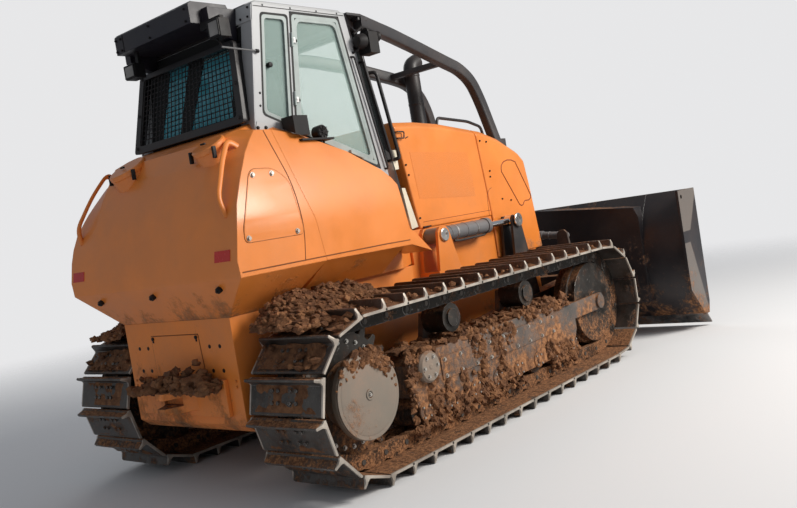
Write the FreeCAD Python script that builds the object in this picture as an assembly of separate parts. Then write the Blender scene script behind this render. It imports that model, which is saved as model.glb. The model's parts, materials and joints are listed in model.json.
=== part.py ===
import FreeCAD, Part
import math
import os

# Crawler bulldozer with an angling and tilting blade. Millimetres.
# +X points forward, +Y left, +Z up, z = 0 at the grouser tips.
# Every x below is measured from the sprocket axle; the export moves the
# machine along X so that its bounding box is centred on the origin.

V = FreeCAD.Vector

# Undercarriage
track_y = 952.5
shoe_width = 610.0
sprocket_teeth = 25
sprocket_pitch_r = 408.0
idler_pitch_r = 400.0
link_count = 43
shoe_inner = 55.0
shoe_outer = 73.0
grouser_out = 137.0
rail_drop = 45.0
rail_near = 45.0
rail_far = 105.0
bush_r = 26.0
roll_gap = 0.3
roller_r = 100.0
hub_r = 264.0
hub_face_y = track_y + 212.5
drive_inner_y = track_y - 252.5
drive_core_r = 170.0
bore_gap = 0.3
frame_half = 150.0
skirt_t = 25.0
frame_x0 = 460.0
frame_x1 = 2650.0
carrier_x = (1052.0, 2039.0)
pivot_x = 620.0
pivot_z = 560.0
pivot_r = 70.0

# Chassis
chassis_half = 565.0
chassis_rear = -444.0
chassis_top = 1118.0
deck_top = 1164.7
chassis_front = 1300.0
front_half = 440.0
front_x1 = 3300.0
drawbar_x = -640.0
drawbar_z0 = 560.0
drawbar_z1 = 700.0
drawbar_pin_x = -560.0
drawbar_pin_r = 27.0

# Blade lift frame
lift_x = 1450.0
lift_z = 420.0
lift_pin_r = 60.0
running_gap = 0.1
arm_in = 470.0
arm_out = 625.0
beam_x0 = 3660.0
beam_x1 = 3800.0
tilt_z = 600.0
tilt_shaft_r = 60.0

# Lift cylinders
lift_cyl_y = 540.0
lift_base_x = 1665.0
lift_base_z = 1350.0
lift_eye_x = 2775.0
lift_eye_z = 1350.0
lift_barrel_r = 60.0
lift_rod_r = 27.5
lift_barrel_len = 730.0
lift_rod_len = 670.0
lift_base_r = 35.0

# Blade angling
angle_x = 4050.0
angle_pin_r = 45.0
angle_post_x = 3900.0
angle_post_y = 100.0
angle_lug_x = 4115.0
angle_lug_y = 600.0
angle_cyl_z = 800.0
angle_barrel_r = 38.0
angle_rod_r = 20.0
angle_barrel_len = 340.0
angle_rod_len = 330.0
angle_base_r = 25.0

# Blade tilt cylinder
tilt_base_y = -500.0
tilt_base_z = 1100.0
tilt_eye_z = 1150.0
tilt_plane_x = 3790.0
tilt_barrel_r = 36.0
tilt_rod_r = 18.0
tilt_barrel_len = 290.0
tilt_rod_len = 347.0
tilt_base_r = 20.0

# Blade
blade_half = 1525.0
blade_top = 1365.0
blade_low = 145.0
blade_mid_x = 4230.0
blade_edge_x = 4500.0
blade_plate = 34.0
blade_back_x = 4190.0

# Cab
cab_half = 620.0
cab_wall = 55.0
cab_floor = 1165.0
cab_inner_floor = 1300.0
cab_top = 3012.0
corner_dx = 337.0
corner_dy = 200.0
hinge_x = 310.0
hinge_z = 2300.0
hinge_lean = 0.14925
hinge_out = 8.3
door_gap = 8.0
pane_t = 8.0
pane_y = cab_half - 24.0


def box(x0, x1, y0, y1, z0, z1):
    return Part.makeBox(x1 - x0, y1 - y0, z1 - z0, V(x0, y0, z0))


def face_of(points):
    return Part.Face(Part.makePolygon(points + [points[0]]))


def prism_y(outline, y0, y1):
    return face_of([V(x, y0, z) for x, z in outline]).extrude(V(0, y1 - y0, 0))


def prism_x(outline, x0, x1):
    return face_of([V(x0, y, z) for y, z in outline]).extrude(V(x1 - x0, 0, 0))


def prism_z(outline, z0, z1):
    return face_of([V(x, y, z0) for x, y in outline]).extrude(V(0, 0, z1 - z0))


def cyl_x(x0, x1, y, z, r):
    return Part.makeCylinder(r, x1 - x0, V(x0, y, z), V(1, 0, 0))


def cyl_y(x, y0, y1, z, r):
    return Part.makeCylinder(r, y1 - y0, V(x, y0, z), V(0, 1, 0))


def cyl_z(x, y, z0, z1, r):
    return Part.makeCylinder(r, z1 - z0, V(x, y, z0), V(0, 0, 1))


def rod(a, b, r):
    return Part.makeCylinder(r, (b - a).Length, a, b - a)


def fuse(shapes):
    return shapes[0].fuse(shapes[1:]).removeSplitter()


def mirror(shape):
    return shape.mirror(V(0, 0, 0), V(0, 1, 0))


def both(shape):
    return [shape, mirror(shape)]


def skin(loops):
    faces = [face_of(loops[0]), face_of(loops[-1])]
    count = len(loops[0])
    for low, high in zip(loops, loops[1:]):
        for i in range(count):
            j = (i + 1) % count
            a, b, c, d = low[i], low[j], high[j], high[i]
            if (a - b).Length < 0.01:
                faces.append(face_of([a, c, d]))
                continue
            if (c - d).Length < 0.01:
                faces.append(face_of([a, b, c]))
                continue
            if (a - d).Length < 0.01:
                faces.append(face_of([a, b, c]))
                continue
            if (b - c).Length < 0.01:
                faces.append(face_of([a, b, d]))
                continue
            n = (c - a).cross(d - b)
            n.normalize()
            if abs(n.dot(b - a)) < 0.002:
                faces.append(face_of([a, b, c, d]))
            else:
                faces.append(face_of([a, b, c]))
                faces.append(face_of([a, c, d]))
    solid = Part.Solid(Part.Shell(faces))
    if solid.Volume < 0:
        solid.reverse()
    return solid


def offset(points, dist):
    """Mitred offset of a closed outline; positive moves it outward."""
    area = sum(p[0] * q[1] - q[0] * p[1] for p, q in zip(points, points[1:] + points[:1]))
    side = 1.0 if area > 0 else -1.0
    out = []
    for i in range(len(points)):
        p, q, r = points[i - 1], points[i], points[(i + 1) % len(points)]
        d1 = math.hypot(q[0] - p[0], q[1] - p[1])
        d2 = math.hypot(r[0] - q[0], r[1] - q[1])
        n1 = (side * (q[1] - p[1]) / d1, -side * (q[0] - p[0]) / d1)
        n2 = (side * (r[1] - q[1]) / d2, -side * (r[0] - q[0]) / d2)
        k = dist / (1.0 + n1[0] * n2[0] + n1[1] * n2[1])
        out.append((q[0] + k * (n1[0] + n2[0]), q[1] + k * (n1[1] + n2[1])))
    return out


def no_straight(points):
    """Drop points that lie on the straight line between their neighbours."""
    out = []
    for i in range(len(points)):
        p, q, r = points[i - 1], points[i], points[(i + 1) % len(points)]
        turn = (q[0] - p[0]) * (r[1] - q[1]) - (q[1] - p[1]) * (r[0] - q[0])
        if abs(turn) > 1.0:
            out.append(q)
    return out


nodes = {}


def node(name, *solids):
    nodes[name] = solids[0] if len(solids) == 1 else Part.Compound(list(solids))


# Track belt: joints on the sprocket circle, the idler circle and their two tangents.
half_pitch_angle = 2.0 * math.pi / sprocket_teeth
pitch = 2.0 * sprocket_pitch_r * math.sin(half_pitch_angle)
belt_low = grouser_out
sprocket_z = belt_low + sprocket_pitch_r
idler_z = belt_low + idler_pitch_r


def belt(base, s):
    """Point of the belt at length s, from the sprocket's rearmost point over the top."""
    slope = 2.0 * math.asin((sprocket_pitch_r - idler_pitch_r) / math.hypot(base, sprocket_z - idler_z))
    straight = base
    a1 = sprocket_pitch_r * (math.pi / 2 - slope)
    if s < a1:
        t = math.pi - s / sprocket_pitch_r
        return (sprocket_pitch_r * math.cos(t), sprocket_z + sprocket_pitch_r * math.sin(t))
    s -= a1
    top = (sprocket_pitch_r * math.sin(slope), sprocket_z + sprocket_pitch_r * math.cos(slope))
    if s < straight:
        return (top[0] + s * math.cos(slope), top[1] - s * math.sin(slope))
    s -= straight
    a2 = idler_pitch_r * (math.pi + slope - 2.0 * slope)
    if s < a2:
        t = math.pi / 2 - slope - s / idler_pitch_r
        return (base + idler_pitch_r * math.cos(t), idler_z + idler_pitch_r * math.sin(t))
    s -= a2
    if s < straight:
        return (base - s, belt_low)
    s -= straight
    t = -math.pi / 2 - s / sprocket_pitch_r
    return (sprocket_pitch_r * math.cos(t), sprocket_z + sprocket_pitch_r * math.sin(t))


def belt_length(base):
    return 2.0 * base + math.pi * (sprocket_pitch_r + idler_pitch_r)


def walk(base):
    """Joints at equal chords; the last value is the length left over after all links."""
    s = 0.0
    joints = [belt(base, 0.0)]
    for _ in range(link_count):
        p = joints[-1]
        low, high = s + 0.98 * pitch, s + 1.1 * pitch
        for _ in range(40):
            mid = 0.5 * (low + high)
            q = belt(base, mid)
            if math.hypot(q[0] - p[0], q[1] - p[1]) < pitch:
                low = mid
            else:
                high = mid
        s = 0.5 * (low + high)
        joints.append(belt(base, s))
    return joints, s - belt_length(base)


base_low, base_high = 2950.0, 3200.0
for _ in range(40):
    wheelbase = 0.5 * (base_low + base_high)
    if walk(wheelbase)[1] > 0.0:
        base_low = wheelbase
    else:
        base_high = wheelbase
joints = walk(wheelbase)[0][:link_count]

shoe_points = ((4.0, shoe_outer), (pitch - 38.0, shoe_outer), (pitch - 30.0, grouser_out),
               (pitch - 16.0, grouser_out), (pitch - 8.0, shoe_outer))


def track_belt():
    outer = []
    for i in range(link_count):
        p, q = joints[i], joints[(i + 1) % link_count]
        t = ((q[0] - p[0]) / pitch, (q[1] - p[1]) / pitch)
        n = (-t[1], t[0])
        for along, out in shoe_points:
            outer.append((p[0] + along * t[0] + out * n[0], p[1] + along * t[1] + out * n[1]))
    outer = no_straight(outer)
    under = no_straight(offset(joints, shoe_inner))
    inside = no_straight(offset(joints, -rail_drop))
    y0 = track_y - shoe_width / 2
    y1 = track_y + shoe_width / 2
    shoes = prism_y(outer, y0, y1).cut(prism_y(under, y0 - 1, y1 + 1))
    parts = [shoes]
    for a, b in ((track_y - rail_far, track_y - rail_near), (track_y + rail_near, track_y + rail_far)):
        parts.append(prism_y(under, a, b).cut(prism_y(inside, a - 1, b + 1)))
    for x, z in joints:
        diamond = [(x + bush_r, z), (x, z + bush_r), (x - bush_r, z), (x, z - bush_r)]
        parts.append(prism_y(diamond, track_y - rail_near, track_y + rail_near))
    return fuse(parts)


belt_solid = track_belt()
node("track_left", belt_solid)
node("track_right", mirror(belt_solid))

# Sprockets: gaps of the teeth sit on the bushes.
tooth = []
for i in range(sprocket_teeth):
    gap_centre = math.pi - i * half_pitch_angle
    mid = gap_centre - half_pitch_angle / 2
    for turn, r in ((4.4, 372.0), (1.8, 429.0), (-1.8, 429.0), (-4.4, 372.0)):
        t = mid + math.radians(turn)
        tooth.append((r * math.cos(t), sprocket_z + r * math.sin(t)))
ring = prism_y(tooth, track_y - 35.0, track_y + 35.0)
ring = ring.cut(cyl_y(0, track_y - 40, track_y + 40, sprocket_z, drive_core_r + bore_gap))
node("sprocket_left", ring)
node("sprocket_right", mirror(ring))

drive = fuse([
    cyl_y(0, chassis_half, drive_inner_y, sprocket_z, 200.0),
    cyl_y(0, drive_inner_y, track_y - 35.5, sprocket_z, 260.0),
    cyl_y(0, track_y - 36.0, track_y + 35.5, sprocket_z, drive_core_r),
    cyl_y(0, track_y + 35.5, hub_face_y - 45.0, sprocket_z, 205.0),
    cyl_y(0, hub_face_y - 45.0, hub_face_y, sprocket_z, hub_r),
])
node("final_drive_left", drive)
node("final_drive_right", mirror(drive))

idler_r = idler_pitch_r * math.cos(math.asin(pitch / (2 * idler_pitch_r))) - rail_drop - roll_gap
idler = fuse([
    cyl_y(wheelbase, track_y - 100.0, track_y + 100.0, idler_z, idler_r),
    cyl_y(wheelbase, track_y - 30.0, track_y + 30.0, idler_z, idler_r + 20.0),
    cyl_y(wheelbase, track_y - frame_half + skirt_t, track_y + frame_half - skirt_t, idler_z, 90.0),
])
node("idler_left", idler)
node("idler_right", mirror(idler))

yoke_arm = [(frame_x1 - 80.0, 470.0), (wheelbase + 60.0, 470.0), (wheelbase + 90.0, 500.0),
            (wheelbase + 90.0, 574.0), (wheelbase + 60.0, 604.0), (frame_x1 - 80.0, 604.0)]
yoke_side = prism_y(yoke_arm, track_y + frame_half - skirt_t, track_y + frame_half)
idler_boss = cyl_y(wheelbase, track_y + frame_half, track_y + frame_half + 22.0, idler_z, 62.0)
yoke_side = fuse([yoke_side, idler_boss])
yoke_far = prism_y(yoke_arm, track_y - frame_half, track_y - frame_half + skirt_t)
yoke_block = box(frame_x1 + roll_gap, frame_x1 + 60.0, track_y - 125.0, track_y + 125.0, 470.0, 604.0)
idler_yoke = fuse([yoke_side, yoke_far, yoke_block])

# Track frame: an inverted channel with the rollers between its skirts.
frame_z = (235.0, 392.0, 650.0)
side = [(frame_x0, frame_z[1]), (frame_x0 + 90.0, frame_z[0]), (frame_x1 - 90.0, frame_z[0]),
        (frame_x1, frame_z[1]), (frame_x1, 580.0), (frame_x1 - 140.0, frame_z[2]),
        (frame_x0 + 120.0, frame_z[2]), (frame_x0, 600.0)]
rail = prism_y(side, track_y - frame_half, track_y + frame_half)
rail = rail.cut(box(frame_x0 - 1, frame_x1 + 1, track_y - 125.0, track_y + 125.0, 200.0, frame_z[1]))
rail = rail.cut(cyl_y(pivot_x, track_y - 160.0, track_y + 160.0, pivot_z, pivot_r + bore_gap))
pocket = [(frame_x1 - 80.0 - roll_gap, 470.0 - roll_gap), (frame_x1 + 1, 470.0 - roll_gap),
          (frame_x1 + 1, 604.0 + roll_gap), (frame_x1 - 80.0 - roll_gap, 604.0 + roll_gap)]
rail = rail.cut(prism_y(pocket, track_y + 125.0 - roll_gap, track_y + 151.0))
rail = rail.cut(prism_y(pocket, track_y - 151.0, track_y - 125.0 + roll_gap))


def top_run(x):
    """Height of the track's upper pitch line."""
    for p, q in zip(joints, joints[1:]):
        if p[0] <= x <= q[0] and p[1] > 700.0:
            return p[1] + (q[1] - p[1]) * (x - p[0]) / (q[0] - p[0])
    return joints[1][1]


carriers = []
brackets = []
for x in carrier_x:
    z = top_run(x) - rail_drop - roller_r - roll_gap
    carriers.append(fuse([
        cyl_y(x, track_y - 105.0, track_y + 100.0, z, 35.0),
        cyl_y(x, track_y - 98.0, track_y + 95.0, z, roller_r),
        cyl_y(x, track_y + 95.0, track_y + 112.0, z, 62.0),
    ]))
    foot = [(x - 110.0, frame_z[2] - 5.0), (x + 110.0, frame_z[2] - 5.0), (x + 55.0, z + 45.0),
            (x - 55.0, z + 45.0)]
    brackets.append(prism_y(foot, track_y - frame_half, track_y - 105.0))
rail = fuse([rail] + brackets)
node("track_frame_left", rail)
node("track_frame_right", mirror(rail))
node("idler_yoke_left", idler_yoke)
node("idler_yoke_right", mirror(idler_yoke))

roller_z = belt_low + rail_drop + roller_r + roll_gap
roller_x = [frame_x0 + 95.0 + i * (frame_x1 - frame_x0 - 190.0) / 7 for i in range(8)]
track_rollers = []
for x in roller_x:
    track_rollers.append(fuse([
        cyl_y(x, track_y - 125.0, track_y + 125.0, roller_z, 36.0),
        cyl_y(x, track_y - 112.0, track_y + 112.0, roller_z, roller_r),
    ]))
node("rollers_left", *(track_rollers + carriers))
node("rollers_right", *[mirror(s) for s in track_rollers + carriers])

shaft = fuse([
    cyl_y(pivot_x, chassis_half, track_y + frame_half + 47.5, pivot_z, pivot_r),
    cyl_y(pivot_x, track_y + frame_half + 3.0, track_y + frame_half + 27.5, pivot_z, 100.0),
])
node("pivot_shafts", *both(shaft))

# Rear chassis with its deck under the cab.
body = prism_y([(chassis_rear, 465.0), (-380.0, 410.0), (chassis_front, 410.0), (chassis_front, chassis_top),
                (chassis_rear, chassis_top)], -chassis_half, chassis_half)
deck = box(24.0, chassis_front, -chassis_half, chassis_half, chassis_top, deck_top)
body = body.fuse([deck]).removeSplitter()
for y in (-430.0, -330.0, 330.0, 430.0):
    for z in (800.0, 950.0):
        body = body.cut(cyl_x(chassis_rear - 1, chassis_rear + 45.0, y, z, 11.0))
node("main_frame", body)

pin_lug = prism_z([(chassis_rear - roll_gap, -180.0), (drawbar_x + 60.0, -70.0), (drawbar_x, -40.0),
                   (drawbar_x, 40.0), (drawbar_x + 60.0, 70.0), (chassis_rear - roll_gap, 180.0)],
                  drawbar_z0, drawbar_z1)
slot = box(drawbar_x - 1, drawbar_x + 120.0, -100.0, 100.0, drawbar_z0 + 45.0, drawbar_z1 - 45.0)
pin_lug = pin_lug.cut(slot)
pin_lug = pin_lug.fuse([box(chassis_rear - 30.0, chassis_rear - roll_gap, -450.0, 450.0, 520.0, 750.0)])
pin_lug = pin_lug.cut(cyl_z(drawbar_pin_x, 0, drawbar_z0 - 1, drawbar_z1 + 1, drawbar_pin_r)).removeSplitter()
node("drawbar", pin_lug)

# Front frame: two side plates, belly plate, cross members, lift pins and cylinder brackets.
hood_low = 1420.0
guard_low = 1045.0
plate = [(chassis_front + roll_gap, 480.0), (front_x1 - 120.0, 480.0), (front_x1, 600.0),
         (front_x1, guard_low - roll_gap), (2640.0, guard_low - roll_gap), (2640.0, hood_low - roll_gap),
         (1485.0, hood_low - roll_gap), (1485.0, 1155.0),
         (chassis_front + roll_gap, 1155.0)]
front = [prism_y(plate, front_half - 40.0, front_half)]
front.append(prism_y(plate, -front_half, -front_half + 40.0))
front.append(box(chassis_front + roll_gap, front_x1 - 120.0, -410.0, 410.0, 480.0, 510.0))
for x in (1700.0, 2440.0, 2760.0, 3020.0):
    front.append(box(x, x + 80.0, -410.0, 410.0, 505.0, 749.7))
front.append(box(chassis_front + roll_gap, chassis_front + 85.0, -410.0, 410.0, 505.0, 1050.0))
lift_ear = [(1540.0, 1000.0), (1850.0, 1000.0), (lift_base_x + 75.0, lift_base_z + 30.0),
            (lift_base_x + 40.0, lift_base_z + 65.0), (lift_base_x - 40.0, lift_base_z + 65.0),
            (lift_base_x - 70.0, lift_base_z + 30.0)]
bracket = fuse([
    cyl_y(lift_x, front_half - 10.0, arm_out + 10.0, lift_z, lift_pin_r),
    prism_y([(1330.0, 485.0), (1340.0, 400.0), (1400.0, 330.0), (1500.0, 330.0), (1560.0, 400.0),
             (1570.0, 485.0)], front_half - 40.0, front_half),
    box(1540.0, 1850.0, front_half - 10.0, 630.0, 980.0, 1080.0),
    prism_y(lift_ear, 605.0, 630.0),
    prism_y(lift_ear, front_half - 10.0, 475.0),
    cyl_y(lift_base_x, 460.0, 638.0, lift_base_z, lift_base_r),
])
front = fuse(front + both(bracket))
node("front_frame", front)

engine = box(1665.0, 2540.0, -300.0, 300.0, 750.0, 1850.0)
node("engine_block", engine)
node("radiator", box(2745.0, 3110.0, -380.0, 380.0, 750.0, 1900.0))

# Hood over the engine, open below, and the radiator guard in front of it.
hood_half = 450.0
hood_top = [(1485.0, 2270.0), (1780.0, 2270.0), (2100.0, 2250.0), (2570.0, 2188.0)]
hood_side = [(1622.0, 1420.0)] + hood_top + [(2645.0, 1420.0)]
bevel = 45.0


def cover(profile, half, bevel_z):
    """Solid with the given side profile, bevelled along both top edges."""
    solid = prism_y(profile, -half, half)
    for sign in (-1, 1):
        loops = []
        for x, z in bevel_z:
            loops.append([V(x, sign * (half - bevel), z + 1), V(x, sign * (half + 5), z + 1),
                          V(x, sign * (half + 5), z - bevel - 5)])
        solid = solid.cut(skin(loops))
    return solid


hood_line = [(1400.0, 2270.0)] + hood_top[1:3] + [(2700.0, 2171.0)]
hood = cover(hood_side, hood_half, hood_line)
hood_inner = [(1650.0, 1300.0), (1650.0, 1450.0), (1535.0, 2228.0), (1780.0, 2228.0), (2100.0, 2208.0),
              (2535.0, 2150.0), (2605.0, 1450.0), (2605.0, 1300.0)]
hood = hood.cut(prism_y(hood_inner, -hood_half + 30.0, hood_half - 30.0))
node("hood", hood)

guard_top = [(2578.0, 2187.0), (2695.0, 2171.0), (2950.0, 2100.0), (3230.0, 1975.0), (3300.0, 1915.0)]
guard_side = [(2653.0, 1420.0)] + guard_top + [(3345.0, 1655.0), (3420.0, 1045.0), (2653.0, 1045.0)]
guard_line = [(2500.0, 2197.6)] + guard_top[1:] + [(3400.0, 1829.0)]
guard = cover(guard_side, hood_half, guard_line)
guard_void = [(2700.0, 1000.0), (2700.0, 1420.0), (2630.0, 2140.0), (2690.0, 2131.0), (2940.0, 2060.0),
              (3140.0, 1965.0), (3150.0, 1655.0), (3170.0, 1000.0)]
guard = guard.cut(prism_y(guard_void, -hood_half + 30.0, hood_half - 30.0))
guard = guard.cut(box(3200.0, 3500.0, -370.0, 370.0, 1140.0, 1820.0))
node("radiator_guard", guard)

bars = []
grille_x0, grille_x1 = 3206.0, 3290.0
bars.append(box(grille_x0, grille_x1, -370.0, -345.0, 1140.0, 1820.0))
bars.append(box(grille_x0, grille_x1, 345.0, 370.0, 1140.0, 1820.0))
bars.append(box(grille_x0, grille_x0 + 12.0, -350.0, 350.0, 1140.0, 1820.0))
for i in range(11):
    z = 1160.0 + i * 60.0
    bars.append(box(grille_x0 + 10.0, grille_x1, -350.0, 350.0, z, z + 20.0))
node("grille", fuse(bars))

# Exhaust stack with a curved outlet.
stack_x, stack_y = 2625.0, 170.0
stack = fuse([
    cyl_z(stack_x, stack_y, 2162.0, 2880.0, 76.0),
    Part.makeSphere(76.0, V(stack_x, stack_y, 2880.0)),
    rod(V(stack_x, stack_y, 2880.0), V(stack_x + 95.0, stack_y, 2925.0), 76.0),
])
stack = stack.cut(guard).cut(hood)
stack = max(stack.Solids, key=lambda q: q.Volume)
node("exhaust_stack", stack)

# Brush guard bars from the cab roof over the hood.
sweep_low = 2075.0
sweep_rise = cab_top - sweep_low
sweep_shares = (
    (1150.0, 545.0, 0.9712), (1610.0, 440.0, 0.9285), (2210.0, 345.0, 0.8111), (2560.0, 305.0, 0.7471),
    (2720.0, 300.0, 0.683), (2840.0, 300.0, 0.539), (2935.0, 310.0, 0.2828), (3035.0, 335.0, 0.0))
sweep_path = [(x, y, sweep_low + share * sweep_rise) for x, y, share in sweep_shares]


def bar_along(path, wide, deep):
    loops = []
    for i, (x, y, z) in enumerate(path):
        a = path[max(i - 1, 0)]
        b = path[min(i + 1, len(path) - 1)]
        p1 = (x - a[0], z - a[2])
        p2 = (b[0] - x, b[2] - z)
        l1 = math.hypot(*p1) or 1.0
        l2 = math.hypot(*p2) or 1.0
        t = (p1[0] / l1 + p2[0] / l2, p1[1] / l1 + p2[1] / l2)
        length = math.hypot(*t)
        n = (-t[1] / length, t[0] / length)
        dx, dz = n[0] * deep, n[1] * deep
        loops.append([V(x - dx, y - wide, z - dz), V(x - dx, y + wide, z - dz),
                      V(x + dx, y + wide, z + dz), V(x + dx, y - wide, z + dz)])
    return skin(loops)


sweep = bar_along(sweep_path, 42.0, 48.0)
sweep_foot = box(2955.0, 3135.0, 280.0, 390.0, 2000.0, 2100.0)
sweep_cut = [(2695.0, 2171.0), (2950.0, 2100.0), (3230.0, 1975.0), (3230.0, 1800.0), (2695.0, 1800.0)]
sweep = fuse([sweep, sweep_foot]).cut(prism_y(sweep_cut, 200.0, 460.0))
visor = prism_z([(1000.0, 0.0), (1000.0, cab_half - 30.0), (1140.0, cab_half - 30.0), (1480.0, 470.0),
                 (1480.0, 430.0),
                 (1330.0, 430.0), (1330.0, 0.0)], cab_top + roll_gap, cab_top + 18.0)
cross_z = sweep_low + 0.774 * sweep_rise
cross = box(2447.0, 2507.0, -330.0, 330.0, cross_z - 25.0, cross_z + 25.0)
riser = box(1130.0, 1230.0, cab_half - 110.0, cab_half - 45.0, cab_top - 22.0, cab_top + 1.5)
sweeps = fuse([sweep, mirror(sweep), cross, visor, mirror(visor), riser, mirror(riser)])


# Cab outline: the rear wall and the front corners lean in above these heights.
rear_bend = 2165.0
front_bend = 1850.0


def rear_line(z):
    """Place of the rear wall along X at a height."""
    if z <= rear_bend:
        return 24.0 - 79.0 * (z - cab_floor) / (rear_bend - cab_floor)
    return -55.0 + 150.0 * (z - rear_bend) / (cab_top - rear_bend)


def corner_line(z):
    """Place of the front corner posts along X at a height."""
    if z <= front_bend:
        return 1140.0
    return 1140.0 - 210.0 * (z - front_bend) / (cab_top - front_bend)


def cab_plan(z):
    xr, xc = rear_line(z), corner_line(z)
    yf = cab_half - corner_dy
    return [(xr, -cab_half), (xc, -cab_half), (xc + corner_dx, -yf), (xc + corner_dx, yf), (xc, cab_half),
            (xr, cab_half)]


def cab_loop(z, inset):
    return [V(x, y, z) for x, y in offset(cab_plan(z), -inset)]


levels = (cab_floor, front_bend, rear_bend, cab_top)
shell = skin([cab_loop(z, 0.0) for z in levels])
inner_levels = (cab_inner_floor, front_bend, rear_bend, cab_top - 40.0)
shell = shell.cut(skin([cab_loop(z, cab_wall) for z in inner_levels]))


def door_low(x):
    """Height of the sloping sill below the door."""
    return 2230.0 - 0.36 * (x - 170.0)


def hinge_at(z):
    return hinge_x + hinge_lean * (z - hinge_z)


def meet(edge, shift):
    """Point where a leaning edge line reaches the sloping sill, moved up by shift."""
    z = 2000.0
    for _ in range(60):
        z = door_low(edge(z)) + shift
    return (edge(z), z)


def front_edge(z):
    """Front edge of the door at a height."""
    return corner_line(z) - 70.0


door_top = cab_top - 37.0


def door_outline(grow):
    """Door outline, grown outward by the given amount."""
    def rear(z):
        return hinge_at(z) - grow

    def fore(z):
        return front_edge(z) + grow

    a = meet(rear, -grow)
    b = meet(fore, -grow)
    return [a, b, (fore(door_top + grow), door_top + grow), (rear(door_top + grow), door_top + grow)]


door_shape = door_outline(-door_gap / 2)
door_hole = door_outline(door_gap / 2)
door_glass = offset(door_shape, -34.0)

window_top = cab_top - 68.0


def quarter_rear(z):
    """Rear edge of the small side window at a height."""
    return rear_line(z) + 74.0


def quarter_fore(z):
    """Front edge of the small side window at a height."""
    return hinge_at(z) - 32.0


quarter = [meet(quarter_rear, 36.0), meet(quarter_fore, 36.0), (quarter_fore(window_top), window_top),
           (quarter_rear(window_top), window_top)]

panes = []
for sign in (1, -1):
    y0, y1 = sorted((sign * (cab_half - 120.0), sign * (cab_half + 80.0)))
    shell = shell.cut(prism_y(door_hole, y0, y1))
    shell = shell.cut(prism_y(quarter, y0, y1))
    y0, y1 = sorted((sign * pane_y, sign * (pane_y + pane_t)))
    panes.append(prism_y(quarter, y0, y1))


def window(edge_a, edge_b, ua, ub, z0, z1, normal):
    """Cut an opening between two edge lines of a wall and return its pane."""
    global shell
    quad = []
    for u, z in ((ua, z0), (ub, z0), (ub, z1), (ua, z1)):
        a, b = edge_a(z), edge_b(z)
        quad.append(a + (b - a) * u)
    n = V(*normal)
    n.normalize()
    block = face_of([p - n * 120.0 for p in quad]).extrude(n * 180.0)
    shell = shell.cut(block)
    panes.append(face_of([p - n * 30.0 for p in quad]).extrude(n * pane_t))


def side_edge(sign):
    return lambda z: V(corner_line(z), sign * cab_half, z)


def front_corner(sign):
    return lambda z: V(corner_line(z) + corner_dx, sign * (cab_half - corner_dy), z)


def rear_corner(sign):
    return lambda z: V(rear_line(z), sign * cab_half, z)


window(front_corner(-1), front_corner(1), 0.08, 0.92, 1960.0, window_top, (1, 0, 0))
window(side_edge(1), front_corner(1), 0.2, 0.84, 1960.0, window_top, (corner_dy, corner_dx, 0))
window(side_edge(-1), front_corner(-1), 0.2, 0.84, 1960.0, window_top, (corner_dy, -corner_dx, 0))
window(rear_corner(-1), rear_corner(1), 0.09, 0.91, 2310.0, cab_top - 122.0, (-1, 0, 0))
node("cab_frame", shell)
node("windows", *panes)

leaf = prism_y(door_shape, cab_half - cab_wall, cab_half)
leaf = leaf.cut(prism_y(door_glass, cab_half - 120.0, cab_half + 80.0))
knuckles = []
sill_z = meet(hinge_at, 0.0)[1]
for share in (0.277, 0.767):
    z = sill_z + share * (door_top - sill_z)
    x = hinge_at(z)
    y = cab_half + hinge_out
    knuckle = rod(V(x - 45 * hinge_lean, y, z - 45), V(x + 45 * hinge_lean, y, z + 45), 9.0)
    strap = prism_y([(x, z - 25.0), (x + 45.0, z - 25.0), (x + 45.0, z + 25.0), (x + 6.0, z + 25.0)],
                    cab_half - 4.0, cab_half + 6.0)
    knuckles += [knuckle, strap]
grip = [(760.0, door_low(760.0) + 10.0), (880.0, door_low(880.0) + 10.0), (880.0, door_low(880.0) + 32.0),
        (760.0, door_low(760.0) + 32.0)]
handle = prism_y(grip, cab_half - 4.0, cab_half + 22.0)
handle = handle.cut(box(780.0, 860.0, cab_half, cab_half + 10.0, 1950.0, 2110.0))
leaf = fuse([leaf] + knuckles + [handle])
pane = prism_y(door_glass, pane_y, pane_y + pane_t)
node("cab_door_left", leaf)
node("cab_door_right", mirror(leaf))
node("door_glass_left", pane)
node("door_glass_right", mirror(pane))

roof_side = [(80.0, cab_top + 0.3), (180.0, cab_top + 38.0), (960.0, cab_top + 38.0), (1000.0, cab_top + 0.3)]
roof = prism_y(roof_side, 60.0 - cab_half, cab_half - 60.0)
node("cab_roof", roof)
over_roof = [(70.0, cab_top), (70.0, cab_top + 60.0), (1004.0, cab_top + 60.0), (1004.0, cab_top)]
sweeps = sweeps.cut(prism_y(over_roof, 20.0 - cab_half, cab_half - 20.0))
stand = skin([cab_loop(z, -roll_gap) for z in (cab_top - 112.0, cab_top + roll_gap)])
sweeps = sweeps.cut(stand)
sweeps = max(sweeps.Solids, key=lambda q: q.Volume)
node("sweeps", sweeps)

box_z = cab_top - 99.0
ear_z = (cab_top - 212.0, cab_top - 7.0)
box_side = [(rear_line(box_z) - 1.0, box_z), (rear_line(cab_top - 12.0) - 1.0, cab_top - 12.0),
            (78.0, cab_top + 0.5), (60.0, cab_top + 36.0), (-215.0, cab_top + 36.0), (-237.0, cab_top + 18.0),
            (-237.0, box_z)]
roof_box = prism_y(box_side, -413.0, 413.0)
ears = []
for y in (-470.0, 413.0 - 1.0):
    ears.append(prism_y([(rear_line(ear_z[0]) - 1.0, ear_z[0]), (rear_line(ear_z[1]) - 1.0, ear_z[1]),
                         (-140.0, ear_z[1]), (-140.0, cab_top - 142.0)], y, y + 58.0))
roof_box = fuse([roof_box] + ears)
node("roof_box", roof_box)

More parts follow.
